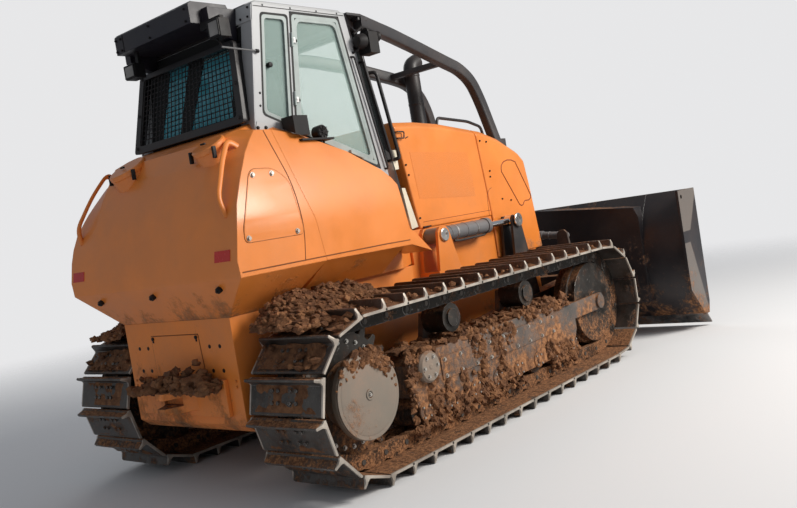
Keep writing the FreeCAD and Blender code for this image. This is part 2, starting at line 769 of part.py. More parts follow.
# Rear window screen: frame, centre post and a grid of bars.
screen_out = 74.0


def screen_x(z):
    return rear_line(z) - 1.0


def screen_quad(y_low, y_high, z0, z1, depth):
    return [V(screen_x(z0) - depth, -y_low, z0), V(screen_x(z0) - depth, y_low, z0),
            V(screen_x(z1) - depth, y_high, z1), V(screen_x(z1) - depth, -y_high, z1)]


def screen_block(y_low, y_high, z0, z1, deep0, deep1):
    a = screen_quad(y_low, y_high, z0, z1, deep0)
    b = screen_quad(y_low, y_high, z0, z1, deep1)
    return skin([a, b])


screen_low = 2262.0
screen_top = screen_low + 0.7147 * (cab_top - screen_low)
mesh_low = screen_low + 60.0
mesh_top = screen_top - 48.0
mesh_rise = mesh_top - mesh_low
bar_half = 0.0117 * mesh_rise
screen = screen_block(598.0, 485.0, screen_low, screen_top, 0.0, screen_out)
screen = screen.cut(screen_block(522.0, 430.0, mesh_low, mesh_top, -40.0, screen_out + 40.0))
mesh = [screen]
for i in range(1, 8):
    z = mesh_low + i * mesh_rise / 8
    half = 522.0 - 92.0 * (z - mesh_low) / mesh_rise + 6.0
    x = screen_x(z) - 50.0
    mesh.append(box(x - 5.0, x + 5.0, -half, half, z - bar_half, z + bar_half))
for i in range(-5, 6):
    wide = 22.0 if i == 0 else 5.0
    a = V(screen_x(mesh_low - 4.0) - 50.0, 0, mesh_low - 4.0)
    b = V(screen_x(mesh_top + 4.0) - 50.0, 0, mesh_top + 4.0)
    y0, y1 = i * 85.0, i * 72.0
    mesh.append(skin([[V(a.x - 6, y0 - wide, a.z), V(a.x + 6, y0 - wide, a.z), V(a.x + 6, y0 + wide, a.z),
                       V(a.x - 6, y0 + wide, a.z)],
                      [V(b.x - 6, y1 - wide, b.z), V(b.x + 6, y1 - wide, b.z), V(b.x + 6, y1 + wide, b.z),
                       V(b.x - 6, y1 + wide, b.z)]]))
node("rear_screen", fuse(mesh))

seat = fuse([
    box(330.0, 830.0, -230.0, 230.0, cab_inner_floor, 1480.0),
    prism_y([(280.0, 1480.0), (860.0, 1480.0), (870.0, 1600.0), (420.0, 1600.0), (330.0, 2260.0),
             (200.0, 2260.0)], -260.0, 260.0),
    box(420.0, 760.0, -350.0, -270.0, 1420.0, 1700.0),
    box(420.0, 760.0, 270.0, 350.0, 1420.0, 1700.0),
    box(440.0, 740.0, -275.0, 275.0, 1430.0, 1479.0),
])
node("seat", seat)
console = fuse([
    prism_y([(1180.0, cab_inner_floor), (1400.0, cab_inner_floor), (1400.0, 1900.0), (1290.0, 2020.0),
             (1210.0, 1960.0)], -300.0, 300.0),
    cyl_y(1250.0, -60.0, 60.0, 1985.0, 45.0),
])
node("control_console", console)

# Fuel tank across the rear and the fenders beside the cab.
tank_seam = [(-178.0, 2165.0), (-50.0, 1860.0), (60.0, 1620.0), (100.0, 1352.0)]
tank_rear = [(-577.0, 1352.0), (-584.0, 1447.0), (-520.0, 1760.0), (-470.0, 1890.0), (-400.0, 2040.0)]
tank_outer = tank_rear + [(-345.0, 2120.0), (-310.0, 2163.0)] + tank_seam
seam_top = (-50.0 - 128.0 * 356.0 / 305.0, 2216.0)
tank_mid = tank_rear + [(-345.0, 2125.0), (-315.0, 2166.0)] + [seam_top] + tank_seam[1:]
tank = skin([
    [V(x, -900.0, z) for x, z in tank_outer],
    [V(x, -cab_half - 3.0, z) for x, z in tank_mid],
    [V(x, cab_half + 3.0, z) for x, z in tank_mid],
    [V(x, 900.0, z) for x, z in tank_outer],
])
hip = skin([
    [V(chassis_rear, -570.0, chassis_top + 0.3), V(20.0, -570.0, chassis_top + 0.3),
     V(20.0, 570.0, chassis_top + 0.3), V(chassis_rear, 570.0, chassis_top + 0.3)],
    [V(-577.0, -900.0, 1352.0), V(100.0, -900.0, 1352.0), V(100.0, 900.0, 1352.0), V(-577.0, 900.0, 1352.0)],
])
fill = prism_y([(-440.0, 1200.0), (-440.0, 1900.0), (-315.0, 2160.0), (-178.0, 2216.0), (-60.0, 2257.0),
                (0.0, 2257.0), (80.0, 1200.0)], -cab_half - 2.0, cab_half + 2.0)
tank = fuse([tank, hip, fill])
cab_space = prism_y([(20.0, 1100.0), (20.0, cab_floor), (rear_line(2165.0) - 3.0, 2165.0),
                     (rear_line(2400.0) - 3.0, 2400.0), (600.0, 2400.0), (600.0, 1100.0)],
                    -cab_half - 3.0, cab_half + 3.0)
tank = tank.cut(cab_space)
node("fuel_tank", tank)

fender_outer = [(-177.7, 2165.0), (-30.0, 2140.0), (200.0, 2080.0), (430.0, 2010.0), (740.0, 1870.0),
                (830.0, 1810.0), (880.0, 1760.0), (910.0, 1620.0), (940.0, 1450.0), (990.0, 1420.0),
                (1150.0, 1270.0), (940.0, 1340.0), (100.3, 1352.0), (60.3, 1620.0), (-49.7, 1860.0)]
fender_inner = [(seam_top[0] + roll_gap, seam_top[1]), (-40.0, 2262.0), (200.0, 2205.0), (430.0, 2122.0),
                (760.0, 2003.0),
                (950.0, 1930.0), (1080.0, 1850.0), (1095.0, 1620.0), (1100.0, 1450.0), (1110.0, 1420.0),
                (1160.0, 1270.0), (960.0, 1340.0), (100.3, 1352.0), (60.3, 1620.0), (-49.7, 1860.0)]
fender = skin([
    [V(x, cab_half + 5.0, z) for x, z in fender_inner],
    [V(x, 900.0, z) for x, z in fender_outer],
])
wedge_end = [(cab_half + 5.0, 1165.0), (895.0, 1355.0), (895.0, 1400.0), (cab_half + 5.0, 1400.0)]
wedge = prism_x(wedge_end, 103.0, 880.0)
fender = fuse([fender, wedge])
node("fenders", *both(fender))

# Small fittings.
caps = []
for x, y, z in ((-300.0, -530.0, 2110.0), (-300.0, 260.0, 2110.0)):
    caps.append(rod(V(-340.0, y, 2090.0), V(-395.0, y, 2135.0), 62.0).cut(tank))
node("filler_caps", *caps)


def rail_tube(points, r):
    parts = []
    for a, b in zip(points, points[1:]):
        parts.append(rod(a, b, r))
    for p in points[1:-1]:
        parts.append(Part.makeSphere(r, p))
    return fuse(parts)


right_rail = rail_tube([V(-370.0, -710.0, 2100.0), V(-455.0, -712.0, 2130.0), V(-560.0, -790.0, 1800.0),
                        V(-510.0, -800.0, 1775.0)], 15.0)
left_rail = rail_tube([V(-370.0, 820.0, 2085.0), V(-455.0, 830.0, 2110.0), V(-580.0, 860.0, 1730.0),
                       V(-525.0, 850.0, 1705.0)], 15.0)
hood_rail = rail_tube([V(2110.0, -400.0, 2240.0), V(2130.0, -400.0, 2300.0), V(2560.0, -400.0, 2262.0),
                       V(2750.0, -400.0, 2212.0), V(2770.0, -400.0, 2140.0)], 12.0)
rail_top = cab_top - 372.0
rail_low = 1980.0
rail_lean = corner_line(rail_low) - corner_line(rail_top)
door_rail = rail_tube([V(1411.0 - rail_lean, -411.0, rail_top), V(1457.0 - rail_lean, -488.0, rail_top),
                       V(1457.0, -488.0, rail_low), V(1411.0, -411.0, rail_low)], 14.0)

rails = [right_rail, left_rail, hood_rail, mirror(hood_rail), door_rail, mirror(door_rail)]
solids_below = [tank, hood, guard, nodes["cab_frame"]]
clean_rails = []
for r in rails:
    for s in solids_below:
        r = r.cut(s)
    clean_rails.append(max(r.Solids, key=lambda q: q.Volume))
node("grab_rails", *clean_rails)


def lamp(x, y, z, dx, dy, dz):
    return box(x - dx / 2, x + dx / 2, y - dy / 2, y + dy / 2, z - dz / 2, z + dz / 2)


lamps = [
    fuse([lamp(-190.0, 310.0, cab_top - 230.0, 80.0, 120.0, 95.0),
          box(-170.0, -150.0, 285.0, 315.0, cab_top - 190.0, box_z - 0.5)]),
    fuse([lamp(-185.0, -605.0, cab_top - 185.0, 80.0, 110.0, 110.0),
          box(-170.0, -141.0, -610.0, -410.0, cab_top - 145.0, cab_top - 97.0)]),
    fuse([lamp(212.0, -705.0, 2210.0, 126.0, 110.0, 125.0),
          box(195.0, 235.0, -720.0, -690.0, 2090.0, 2160.0)]),
    fuse([lamp(212.0, 705.0, 2210.0, 126.0, 110.0, 125.0),
          box(195.0, 235.0, 690.0, 720.0, 2090.0, 2160.0)]),
    fuse([lamp(1090.0, -670.0, cab_top - 222.0, 100.0, 110.0, 150.0),
          box(1040.0, 1080.0, -640.0, -560.0, cab_top - 252.0, cab_top - 212.0)]),
    fuse([lamp(1090.0, 670.0, cab_top - 222.0, 100.0, 110.0, 150.0),
          box(1040.0, 1080.0, 560.0, 640.0, cab_top - 252.0, cab_top - 212.0)]),
]
clean_lamps = []
for s in lamps:
    for other in (fender, mirror(fender), nodes["cab_frame"], nodes["roof_box"]):
        s = s.cut(other)
    clean_lamps.append(max(s.Solids, key=lambda q: q.Volume))
node("work_lamps", *clean_lamps)

# Lift frame: two arms, crossbeam, ears for the lift rods, tower for the tilt cylinder.
arm = [(1340.0, 350.0), (1340.0, 490.0), (1400.0, 535.0), (2500.0, 640.0), (beam_x1, 720.0), (beam_x1, 450.0),
       (beam_x0, 450.0), (2500.0, 400.0), (1560.0, 305.0), (1400.0, 305.0)]
ear = [(lift_eye_x - 140.0, 620.0), (lift_eye_x - 65.0, lift_eye_z - 20.0),
       (lift_eye_x - 40.0, lift_eye_z + 45.0), (lift_eye_x + 40.0, lift_eye_z + 45.0),
       (lift_eye_x + 70.0, lift_eye_z - 30.0), (lift_eye_x + 220.0, 640.0)]
arm_solid = fuse([
    prism_y(arm, arm_in, arm_out),
    prism_y(ear, 475.0, 500.0),
    prism_y(ear, 580.0, 605.0),
    cyl_y(lift_eye_x, 604.0, 624.0, lift_eye_z, 38.0),
])
arm_solid = arm_solid.cut(cyl_y(lift_x, arm_in - 5, arm_out + 5, lift_z, lift_pin_r + running_gap))
arm_other = mirror(arm_solid)
beam = box(beam_x0, beam_x1, -arm_out, arm_out, 450.0, 720.0)
beam = beam.cut(cyl_x(beam_x0 - 1, beam_x1 + 1, 0, tilt_z, tilt_shaft_r + running_gap))
tower = prism_x([(-600.0, 700.0), (-400.0, 700.0), (-445.0, 1130.0), (-475.0, 1160.0), (-525.0, 1160.0),
                 (-555.0, 1130.0)], tilt_plane_x - 72.0, tilt_plane_x - 46.0)
tower = tower.fuse([cyl_x(tilt_plane_x - 60.0, tilt_plane_x + 24.0, tilt_base_y, tilt_base_z, tilt_base_r),
                    cyl_x(tilt_plane_x + 23.0, tilt_plane_x + 32.0, tilt_base_y, tilt_base_z, 27.0)])
c_frame = fuse([arm_solid, arm_other, beam, tower])
node("c_frame", c_frame)

# Yoke that tilts in the crossbeam and carries the blade's angling pin.
nose = [(3840.0, -160.0), (3960.0, -160.0), (3960.0, 160.0), (3840.0, 160.0)]
yoke = [
    prism_z(nose, 500.0, 700.0),
    cyl_x(beam_x0 + 5.0, 3850.0, 0, tilt_z, tilt_shaft_r),
]
for z0, z1 in ((500.0, 535.0), (665.0, 700.0)):
    yoke.append(box(3950.0, angle_x, -75.0, 75.0, z0, z1))
    yoke.append(cyl_z(angle_x, 0, z0, z1, 75.0))
yoke.append(cyl_z(angle_x, 0, 500.0, 712.0, angle_pin_r))
yoke.append(box(3860.0, 3940.0, -40.0, 40.0, 695.0, 1240.0))
yoke.append(box(3820.0, 3870.0, -40.0, 40.0, 1060.0, 1240.0))
yoke.append(box(3745.0, 3870.0, -40.0, 40.0, 1205.0, 1240.0))
yoke.append(box(3745.0, 3760.0, -40.0, 40.0, 1085.0, 1240.0))
yoke.append(cyl_x(3738.0, 3746.0, 0, tilt_eye_z, 30.0))
for sign in (1, -1):
    y = sign * angle_post_y
    for z0, z1 in ((738.0, 760.0), (840.0, 862.0)):
        yoke.append(box(3845.0, angle_post_x, y - 38.0, y + 38.0, z0, z1))
        yoke.append(cyl_z(angle_post_x, y, z0, z1, 38.0))
    yoke.append(box(3845.0, 3856.0, y - 38.0, y + 38.0, 695.0, 862.0))
    yoke.append(cyl_z(angle_post_x, y, 738.0, 870.0, angle_base_r))
node("blade_yoke", fuse(yoke))

# Blade: curved mouldboard, stiffener box, end plates, angling neck and cylinder lugs.
mid_z = 0.5 * (blade_top + blade_low)
half_h = 0.5 * (blade_top - blade_low)
sag = blade_edge_x - blade_mid_x
blade_r = (half_h * half_h + sag * sag) / (2 * sag)
arc_steps = 10


def arc_at(r, z):
    return blade_mid_x + blade_r - math.sqrt(r * r - (z - mid_z) ** 2)


arc_z = [blade_low + i * (blade_top - blade_low) / arc_steps for i in range(arc_steps + 1)]
front_arc = [(arc_at(blade_r, z), z) for z in arc_z]
back_arc = [(arc_at(blade_r + blade_plate, z), z) for z in arc_z]
mould = prism_y(front_arc + back_arc[::-1], -blade_half + 25.0, blade_half - 25.0)
stiff = prism_x([(-1090.0, 330.0), (-1090.0, 1160.0), (-1050.0, 1262.0), (0.0, 1358.0), (1050.0, 1262.0),
                 (1090.0, 1160.0), (1090.0, 330.0)], blade_back_x, blade_edge_x + 60.0)
ahead = [(x - 4.0, z) for x, z in back_arc]
ahead = [(ahead[0][0] - 40.0, blade_low - 60.0)] + ahead + [(ahead[-1][0] + 30.0, blade_top + 60.0)]
ahead = [(5000.0, blade_low - 60.0)] + ahead + [(5000.0, blade_top + 60.0)]
stiff = stiff.cut(prism_y(ahead, -1600.0, 1600.0))
bridge = [(x - 4.5, z) for x, z in back_arc] + [(x + 2.0, z) for x, z in back_arc[::-1]]
bridge = prism_y(bridge, -1089.0, 1089.0)
end_plate = [(4150.0, blade_top), (4150.0, 420.0), (4420.0, blade_low), (4520.0, blade_low), (4560.0, 260.0),
             (4560.0, blade_top)]
end_left = prism_y(end_plate, blade_half - 25.0, blade_half)
end_left = end_left.cut(cyl_y(4215.0, blade_half - 30.0, blade_half + 5.0, 1300.0, 20.0))
neck = box(angle_x + 30.0, 4300.0, -60.0, 60.0, 541.0, 659.0)
boss = cyl_z(angle_x, 0, 541.0, 659.0, 68.0)
parts = [mould, stiff, bridge, end_left, mirror(end_left), neck, boss]
for sign in (1, -1):
    y = sign * angle_lug_y
    for z0, z1 in ((733.0, 755.0), (845.0, 867.0)):
        parts.append(box(angle_lug_x, 4200.0, y - 45.0, y + 45.0, z0, z1))
        parts.append(cyl_z(angle_lug_x, y, z0, z1, 42.0))
blade = fuse(parts)
blade = blade.cut(cyl_z(angle_x, 0, 500.0, 700.0, angle_pin_r + running_gap))
node("blade", blade)

low_run = (front_arc[1][0] - front_arc[0][0]) / (front_arc[1][1] - front_arc[0][1])


def face_x(z):
    """Front face of the mouldboard's lowest strip, carried on below it."""
    return front_arc[0][0] + low_run * (z - front_arc[0][1])


edge = prism_y([(face_x(30.0) + roll_gap, 30.0), (face_x(30.0) + 25.0, 30.0), (face_x(240.0) + 25.0, 240.0),
                (face_x(240.0) + roll_gap, 240.0)], -1499.0, 1499.0)
node("cutting_edge", edge)


# Hydraulic cylinders, drawn along +X from their base pin and then placed.
def barrel_shape(r, length, base_r, base_half, rod_r, floor):
    tube = fuse([
        cyl_x(base_r * 1.75 + 6.0, length, 0, 0, r),
        cyl_y(0, -base_half, base_half, 0, base_r * 1.75),
        box(0.0, base_r * 1.75 + 16.0, -base_half * 0.8, base_half * 0.8, -base_r * 1.1, base_r * 1.1),
        cyl_x(length - 45.0, length, 0, 0, r + 8.0),
    ])
    tube = tube.cut(cyl_x(floor, length + 1, 0, 0, rod_r + running_gap))
    return tube.cut(cyl_y(0, -base_half - 1, base_half + 1, 0, base_r + running_gap)).removeSplitter()


def rod_shape(r, span, length, eye_r, eye_half):
    return fuse([
        cyl_x(span - length, span - eye_r * 0.5, 0, 0, r),
        cyl_y(span, -eye_half, eye_half, 0, eye_r),
    ])


def place(shape, base, direction, roll):
    """Turn a cylinder drawn along +X into its direction; roll turns its pins about its length."""
    shape = shape.copy()
    if roll:
        shape.rotate(V(0, 0, 0), V(1, 0, 0), roll)
    turn = FreeCAD.Rotation(V(1, 0, 0), direction)
    shape.Placement = FreeCAD.Placement(base, turn).multiply(shape.Placement)
    return shape


lift_base = V(lift_base_x, lift_cyl_y, lift_base_z)
lift_eye = V(lift_eye_x, lift_cyl_y, lift_eye_z)
lift_span = (lift_eye - lift_base).Length
lift_barrel = place(barrel_shape(lift_barrel_r, lift_barrel_len, lift_base_r, 57.0, lift_rod_r, 90.0),
                    lift_base, lift_eye - lift_base, 0)
lift_rod = rod_shape(lift_rod_r, lift_span, lift_rod_len, 50.0, 32.0)
lift_rod = place(lift_rod, lift_base, lift_eye - lift_base, 0)
node("lift_barrel_left", lift_barrel)
node("lift_barrel_right", mirror(lift_barrel))
node("lift_rod_left", lift_rod)
node("lift_rod_right", mirror(lift_rod))

angle_base = V(angle_post_x, angle_post_y, angle_cyl_z)
angle_eye = V(angle_lug_x, angle_lug_y, angle_cyl_z)
angle_span = (angle_eye - angle_base).Length
angle_barrel = place(barrel_shape(angle_barrel_r, angle_barrel_len, angle_base_r, 30.0, angle_rod_r, 70.0),
                     V(0, 0, 0), V(1, 0, 0), 90)
angle_rod = place(rod_shape(angle_rod_r, angle_span, angle_rod_len, 36.0, 36.0), V(0, 0, 0), V(1, 0, 0), 90)
heading = math.degrees(math.atan2(angle_lug_y - angle_post_y, angle_lug_x - angle_post_x))
for shape in (angle_barrel, angle_rod):
    shape.rotate(V(0, 0, 0), V(0, 0, 1), heading)
    shape.translate(angle_base)
node("angle_barrel_left", angle_barrel)
node("angle_barrel_right", mirror(angle_barrel))
node("angle_rod_left", angle_rod)
node("angle_rod_right", mirror(angle_rod))

tilt_base = V(tilt_plane_x, tilt_base_y, tilt_base_z)
tilt_eye = V(tilt_plane_x, 0, tilt_eye_z)
tilt_span = (tilt_eye - tilt_base).Length
tilt_barrel = barrel_shape(tilt_barrel_r, tilt_barrel_len, tilt_base_r, 15.0, tilt_rod_r, 45.0)
tilt_rod = rod_shape(tilt_rod_r, tilt_span, tilt_rod_len, 34.0, 20.0)
climb = math.degrees(math.atan2(tilt_eye_z - tilt_base_z, -tilt_base_y))
for shape in (tilt_barrel, tilt_rod):
    shape.rotate(V(0, 0, 0), V(0, 0, 1), 90)
    shape.rotate(V(0, 0, 0), V(1, 0, 0), climb)
    shape.translate(tilt_base)
node("tilt_barrel", tilt_barrel)
node("tilt_rod", tilt_rod)

bounds = FreeCAD.BoundBox()
for shape in nodes.values():
    bounds.add(shape.BoundBox)
shift = -0.5 * (bounds.XMin + bounds.XMax)
print("shift", round(shift, 4), "wheelbase", round(wheelbase, 4), "box", bounds)
os.makedirs("parts", exist_ok=True)
for name, shape in nodes.items():
    shape = shape.copy()
    shape.translate(V(shift, 0, 0))
    if not shape.isValid():
        print("not valid:", name)
    print(name, len(shape.Solids), round(shape.Volume / 1e9, 4))
    shape.exportStep("parts/" + name + ".step")
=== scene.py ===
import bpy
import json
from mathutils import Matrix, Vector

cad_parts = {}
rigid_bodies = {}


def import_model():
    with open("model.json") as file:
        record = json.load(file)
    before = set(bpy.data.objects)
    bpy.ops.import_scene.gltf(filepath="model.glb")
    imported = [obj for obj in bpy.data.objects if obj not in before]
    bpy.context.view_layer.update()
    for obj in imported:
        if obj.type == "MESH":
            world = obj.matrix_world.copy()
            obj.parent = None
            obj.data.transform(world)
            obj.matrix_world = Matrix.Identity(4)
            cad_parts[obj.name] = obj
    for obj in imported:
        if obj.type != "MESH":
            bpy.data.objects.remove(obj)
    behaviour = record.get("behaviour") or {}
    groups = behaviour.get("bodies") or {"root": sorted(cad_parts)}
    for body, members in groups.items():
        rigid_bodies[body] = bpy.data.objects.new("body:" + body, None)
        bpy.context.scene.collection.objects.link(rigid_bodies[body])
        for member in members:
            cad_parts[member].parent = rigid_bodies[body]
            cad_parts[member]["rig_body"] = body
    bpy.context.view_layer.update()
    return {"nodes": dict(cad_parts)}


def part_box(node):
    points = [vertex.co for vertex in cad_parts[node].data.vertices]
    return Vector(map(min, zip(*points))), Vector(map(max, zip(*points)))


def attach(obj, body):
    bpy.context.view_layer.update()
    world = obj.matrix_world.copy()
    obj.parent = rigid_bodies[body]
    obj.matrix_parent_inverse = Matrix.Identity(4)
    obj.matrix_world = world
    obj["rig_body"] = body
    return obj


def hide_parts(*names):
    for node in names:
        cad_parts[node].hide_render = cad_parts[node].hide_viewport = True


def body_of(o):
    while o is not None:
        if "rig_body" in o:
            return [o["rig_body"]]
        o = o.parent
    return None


bl_info = {
    "name": "Crawler bulldozer",
    "version": (1, 0, 0),
    "blender": (4, 5, 0),
    "location": "View3D > Sidebar > Bulldozer",
    "description": "Finishes and fittings of a crawler bulldozer around its packed frame",
    "category": "Object",
}

import json
import math
import random

import bmesh
import bpy
from bpy.props import FloatProperty, FloatVectorProperty, IntProperty, PointerProperty
from mathutils import Matrix, Vector, noise

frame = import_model()

# The sprocket axle is the machine's own zero in X.
HUB_LOW, HUB_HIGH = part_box("final_drive_left")
AXLE_X = 0.5 * (HUB_LOW.x + HUB_HIGH.x)
SPROCKET_Z = 0.5 * (HUB_LOW.z + HUB_HIGH.z)
IDLER_LOW, IDLER_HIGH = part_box("idler_left")
WHEELBASE = 0.5 * (IDLER_LOW.x + IDLER_HIGH.x) - AXLE_X

# Track: radii of the pin line, and distances from it outward to the shoe and the grouser's tip.
SPROCKET_TEETH = 25
SPROCKET_R = 0.408
IDLER_R = 0.400
SHOE_IN = 0.055
SHOE_OUT = 0.073
GROUSER = 0.137
LINK_DROP = 0.045
TRACK_Y = 0.9525
FRAME_SIDE = TRACK_Y + 0.150
ROLLER_Z = 0.2823

# Half widths of the body's upright side faces.
TANK_SIDE = 0.9
HOOD_SIDE = 0.45
CAB_SIDE = 0.620

# Height of both lift pins, and their places along the machine and across it.
LIFT_Z = 1.35
LIFT_BASE_X = 1.665
LIFT_EYE_X = 2.775
LIFT_Y = 0.54

CAMERA_PLACE = (-3.506, -4.531, 1.552)
SIDES = ((1, "left"), (-1, "right"))
SOILS = ["packed soil", "dry soil"]


def at(x, y, z):
    """Point given from the sprocket axle, in metres, as a point of the frame."""
    return Vector((AXLE_X + x, y, z))


def rear_wall(z, foot=-0.055):
    """Place of the cab's leaning rear wall at a height, from the axle; foot is where it starts."""
    return foot + 0.150 * (z - 2.165) / 0.847


def front_corner(z):
    """Place of the cab's front corners at a height, from the axle."""
    return 1.140 - 0.210 * max(0.0, z - 1.850) / 1.162


def colour(name, description, default):
    return FloatVectorProperty(name=name, description=description, subtype="COLOR", size=3,
                               min=0.0, max=1.0, default=default)


def length(name, description, default):
    return FloatProperty(name=name, description=description, default=default, min=0.0,
                         subtype="DISTANCE", unit="LENGTH")


class DozerPaint(bpy.types.PropertyGroup):
    body: colour("Body paint", "Orange of the tank, fenders, hood and chassis", (0.80, 0.235, 0.035))
    cab: colour("Cab paint", "Light grey of the cab posts and doors", (0.42, 0.43, 0.44))
    guard: colour("Guard paint", "Near-black of the guards, roof box and blade", (0.009, 0.009, 0.011))
    soil_wet: colour("Moist soil", "Darker clay colour", (0.095, 0.036, 0.014))
    soil_dry: colour("Dry soil", "Lighter clay colour", (0.40, 0.185, 0.078))
    glass: colour("Glass tint", "Tint of the cab glass", (0.62, 0.82, 0.76))


class DozerTrack(bpy.types.PropertyGroup):
    links: IntProperty(name="Links", description="Track links on each side", default=43, min=20, max=80)
    shoe_width: length("Shoe width", "Width of a track shoe", 0.61)
    gauge_half: length("Half gauge", "Distance of a track from the machine's middle", TRACK_Y)
    soil_depth: length("Soil depth", "Thickness of the soil packed between the grousers", 0.05)


class DozerStage(bpy.types.PropertyGroup):
    lens: length("Lens", "Focal length of the camera for a 36 mm sensor", 0.037724)
    floor: colour("Floor", "Colour of the floor and background", (0.80, 0.80, 0.81))


GROUPS = {}
FINISH = {}


class Graph:
    """A node tree that is being wired."""

    def __init__(self, tree):
        self.tree = tree

    def put(self, socket, value):
        """Link another node's output to a socket, or set its value; colours need three parts."""
        if isinstance(value, bpy.types.NodeSocket):
            self.tree.links.new(value, socket)
        elif socket.type == "RGBA":
            socket.default_value = (*value[:3], 1.0)
        else:
            socket.default_value = value

    def add(self, kind, values=None, **settings):
        made = self.tree.nodes.new(kind)
        for key, value in settings.items():
            setattr(made, key, value)
        for key, value in (values or {}).items():
            self.put(made.inputs[key], value)
        return made

    def math(self, operation, *values, clamp=False):
        made = self.add("ShaderNodeMath", dict(enumerate(values)), operation=operation, use_clamp=clamp)
        return made.outputs[0]

    def plus(self, first, second):
        return self.math("ADD", first, second)

    def minus(self, first, second):
        return self.math("SUBTRACT", first, second)

    def times(self, first, second):
        return self.math("MULTIPLY", first, second)

    def rest(self, mask):
        """What a mask leaves open."""
        return self.minus(1.0, mask)

    def span(self, value, low, high, start=0.0, end=1.0, smooth=True):
        """Map a value from low..high to start..end."""
        made = self.add("ShaderNodeMapRange", dict(enumerate((value, low, high, start, end))),
                        interpolation_type="SMOOTHSTEP" if smooth else "LINEAR")
        return made.outputs[0]

    def mix(self, mask, first, second):
        """Blend of two colours."""
        return self.add("ShaderNodeMix", {0: mask, 6: first, 7: second}, data_type="RGBA").outputs[2]

    def mix_value(self, mask, first, second):
        return self.add("ShaderNodeMix", {0: mask, 2: first, 3: second}, data_type="FLOAT").outputs[0]

    def noise(self, scale, detail, rough, place):
        values = {"Scale": scale, "Detail": detail, "Roughness": rough, "Vector": place}
        return self.add("ShaderNodeTexNoise", values).outputs["Fac"]

    def group(self, name, values):
        return self.add("ShaderNodeGroup", values, node_tree=GROUPS[name]).outputs

    def place(self):
        """Object coordinates of the surface point."""
        return self.add("ShaderNodeTexCoord").outputs["Object"]

    def parts(self, vector):
        return self.add("ShaderNodeSeparateXYZ", {0: vector}).outputs

    def places(self):
        """Object coordinates and facing of the surface point, each split in parts."""
        coordinates = self.add("ShaderNodeTexCoord").outputs
        return self.parts(coordinates["Object"]), self.parts(coordinates["Normal"])


def new_group(name, inputs, outputs):
    """Start a node group with number inputs (name: default) and outputs (name: kind of socket)."""
    group = bpy.data.node_groups.new(name, "ShaderNodeTree")
    for label, default in inputs.items():
        socket = group.interface.new_socket(name=label, in_out="INPUT", socket_type="NodeSocketFloat")
        socket.default_value = default
    for label, kind in outputs.items():
        group.interface.new_socket(name=label, in_out="OUTPUT", socket_type="NodeSocket" + kind)
    start = group.nodes.new("NodeGroupInput")
    end = group.nodes.new("NodeGroupOutput")
    return group, Graph(group), start.outputs, end.inputs


def soil_group():
    """Soil that lies low on the machine and on faces that look up."""
    group, g, given, out = new_group(
        "soil film",
        {"Full below": 0.3, "Clean above": 1.2, "Amount": 0.7, "On ledges": 0.5, "Patch size": 0.25},
        {"Mask": "Float", "Color": "Color", "Height": "Float"})
    paint = bpy.context.scene.dozer_paint
    coordinates = g.add("ShaderNodeTexCoord").outputs
    point = coordinates["Object"]
    z = g.parts(point)[2]
    up = g.parts(coordinates["Normal"])[2]
    scale = g.math("DIVIDE", 1.0, given["Patch size"])
    broad = g.noise(scale, 6.0, 0.62, point)
    fine = g.noise(g.times(scale, 9.0), 6.0, 0.7, point)
    low = g.span(z, given["Full below"], given["Clean above"], 1.0, 0.0, smooth=False)
    ledge = g.times(g.span(up, 0.35, 0.95), given["On ledges"])
    weight = g.plus(g.times(low, given["Amount"]), ledge)
    varied = g.plus(weight, g.times(g.minus(broad, 0.5), 1.6))
    varied = g.plus(varied, g.times(g.minus(fine, 0.5), 0.7))
    mask = g.span(varied, 0.38, 0.78)
    g.put(out["Mask"], mask)
    g.put(out["Color"], g.mix(g.span(fine, 0.35, 0.68), paint.soil_wet, paint.soil_dry))
    g.put(out["Height"], g.times(mask, g.plus(0.4, fine)))
    return group


def dust_group():
    """Thin dry dust with soft blotches, thicker on faces that look up."""
    group, g, given, out = new_group("dust veil", {"Amount": 0.3, "Patch size": 0.5}, {"Mask": "Float"})
    coordinates = g.add("ShaderNodeTexCoord").outputs
    up = g.parts(coordinates["Normal"])[2]
    scale = g.math("DIVIDE", 1.0, given["Patch size"])
    cloud = g.noise(scale, 7.0, 0.65, coordinates["Object"])
    grit = g.noise(g.times(scale, 40.0), 3.0, 0.6, coordinates["Object"])
    body = g.plus(g.span(cloud, 0.35, 0.75), g.times(g.span(up, 0.2, 1.0), 0.5))
    body = g.times(body, g.span(grit, 0.25, 0.7, 0.5, 1.0))
    g.put(out["Mask"], g.math("MULTIPLY", body, given["Amount"], clamp=True))
    return group


def wear_group():
    """Bare metal along worn edges, broken up by noise."""
    group, g, given, out = new_group("edge wear", {"Width": 0.006, "Amount": 0.6, "Patch size": 0.12},
                                     {"Mask": "Float", "Normal": "Vector"})
    rounded = g.add("ShaderNodeBevel", {"Radius": given["Width"]}, samples=4).outputs[0]
    flat = g.add("ShaderNodeNewGeometry").outputs["Normal"]
    dot = g.add("ShaderNodeVectorMath", {0: rounded, 1: flat}, operation="DOT_PRODUCT").outputs["Value"]
    edge = g.span(g.rest(dot), 0.015, 0.16)
    patch = g.noise(g.math("DIVIDE", 1.0, given["Patch size"]), 7.0, 0.7, g.place())
    least = g.minus(0.78, g.times(given["Amount"], 0.5))
    g.put(out["Mask"], g.times(edge, g.span(patch, least, 0.8)))
    g.put(out["Normal"], rounded)
    return group


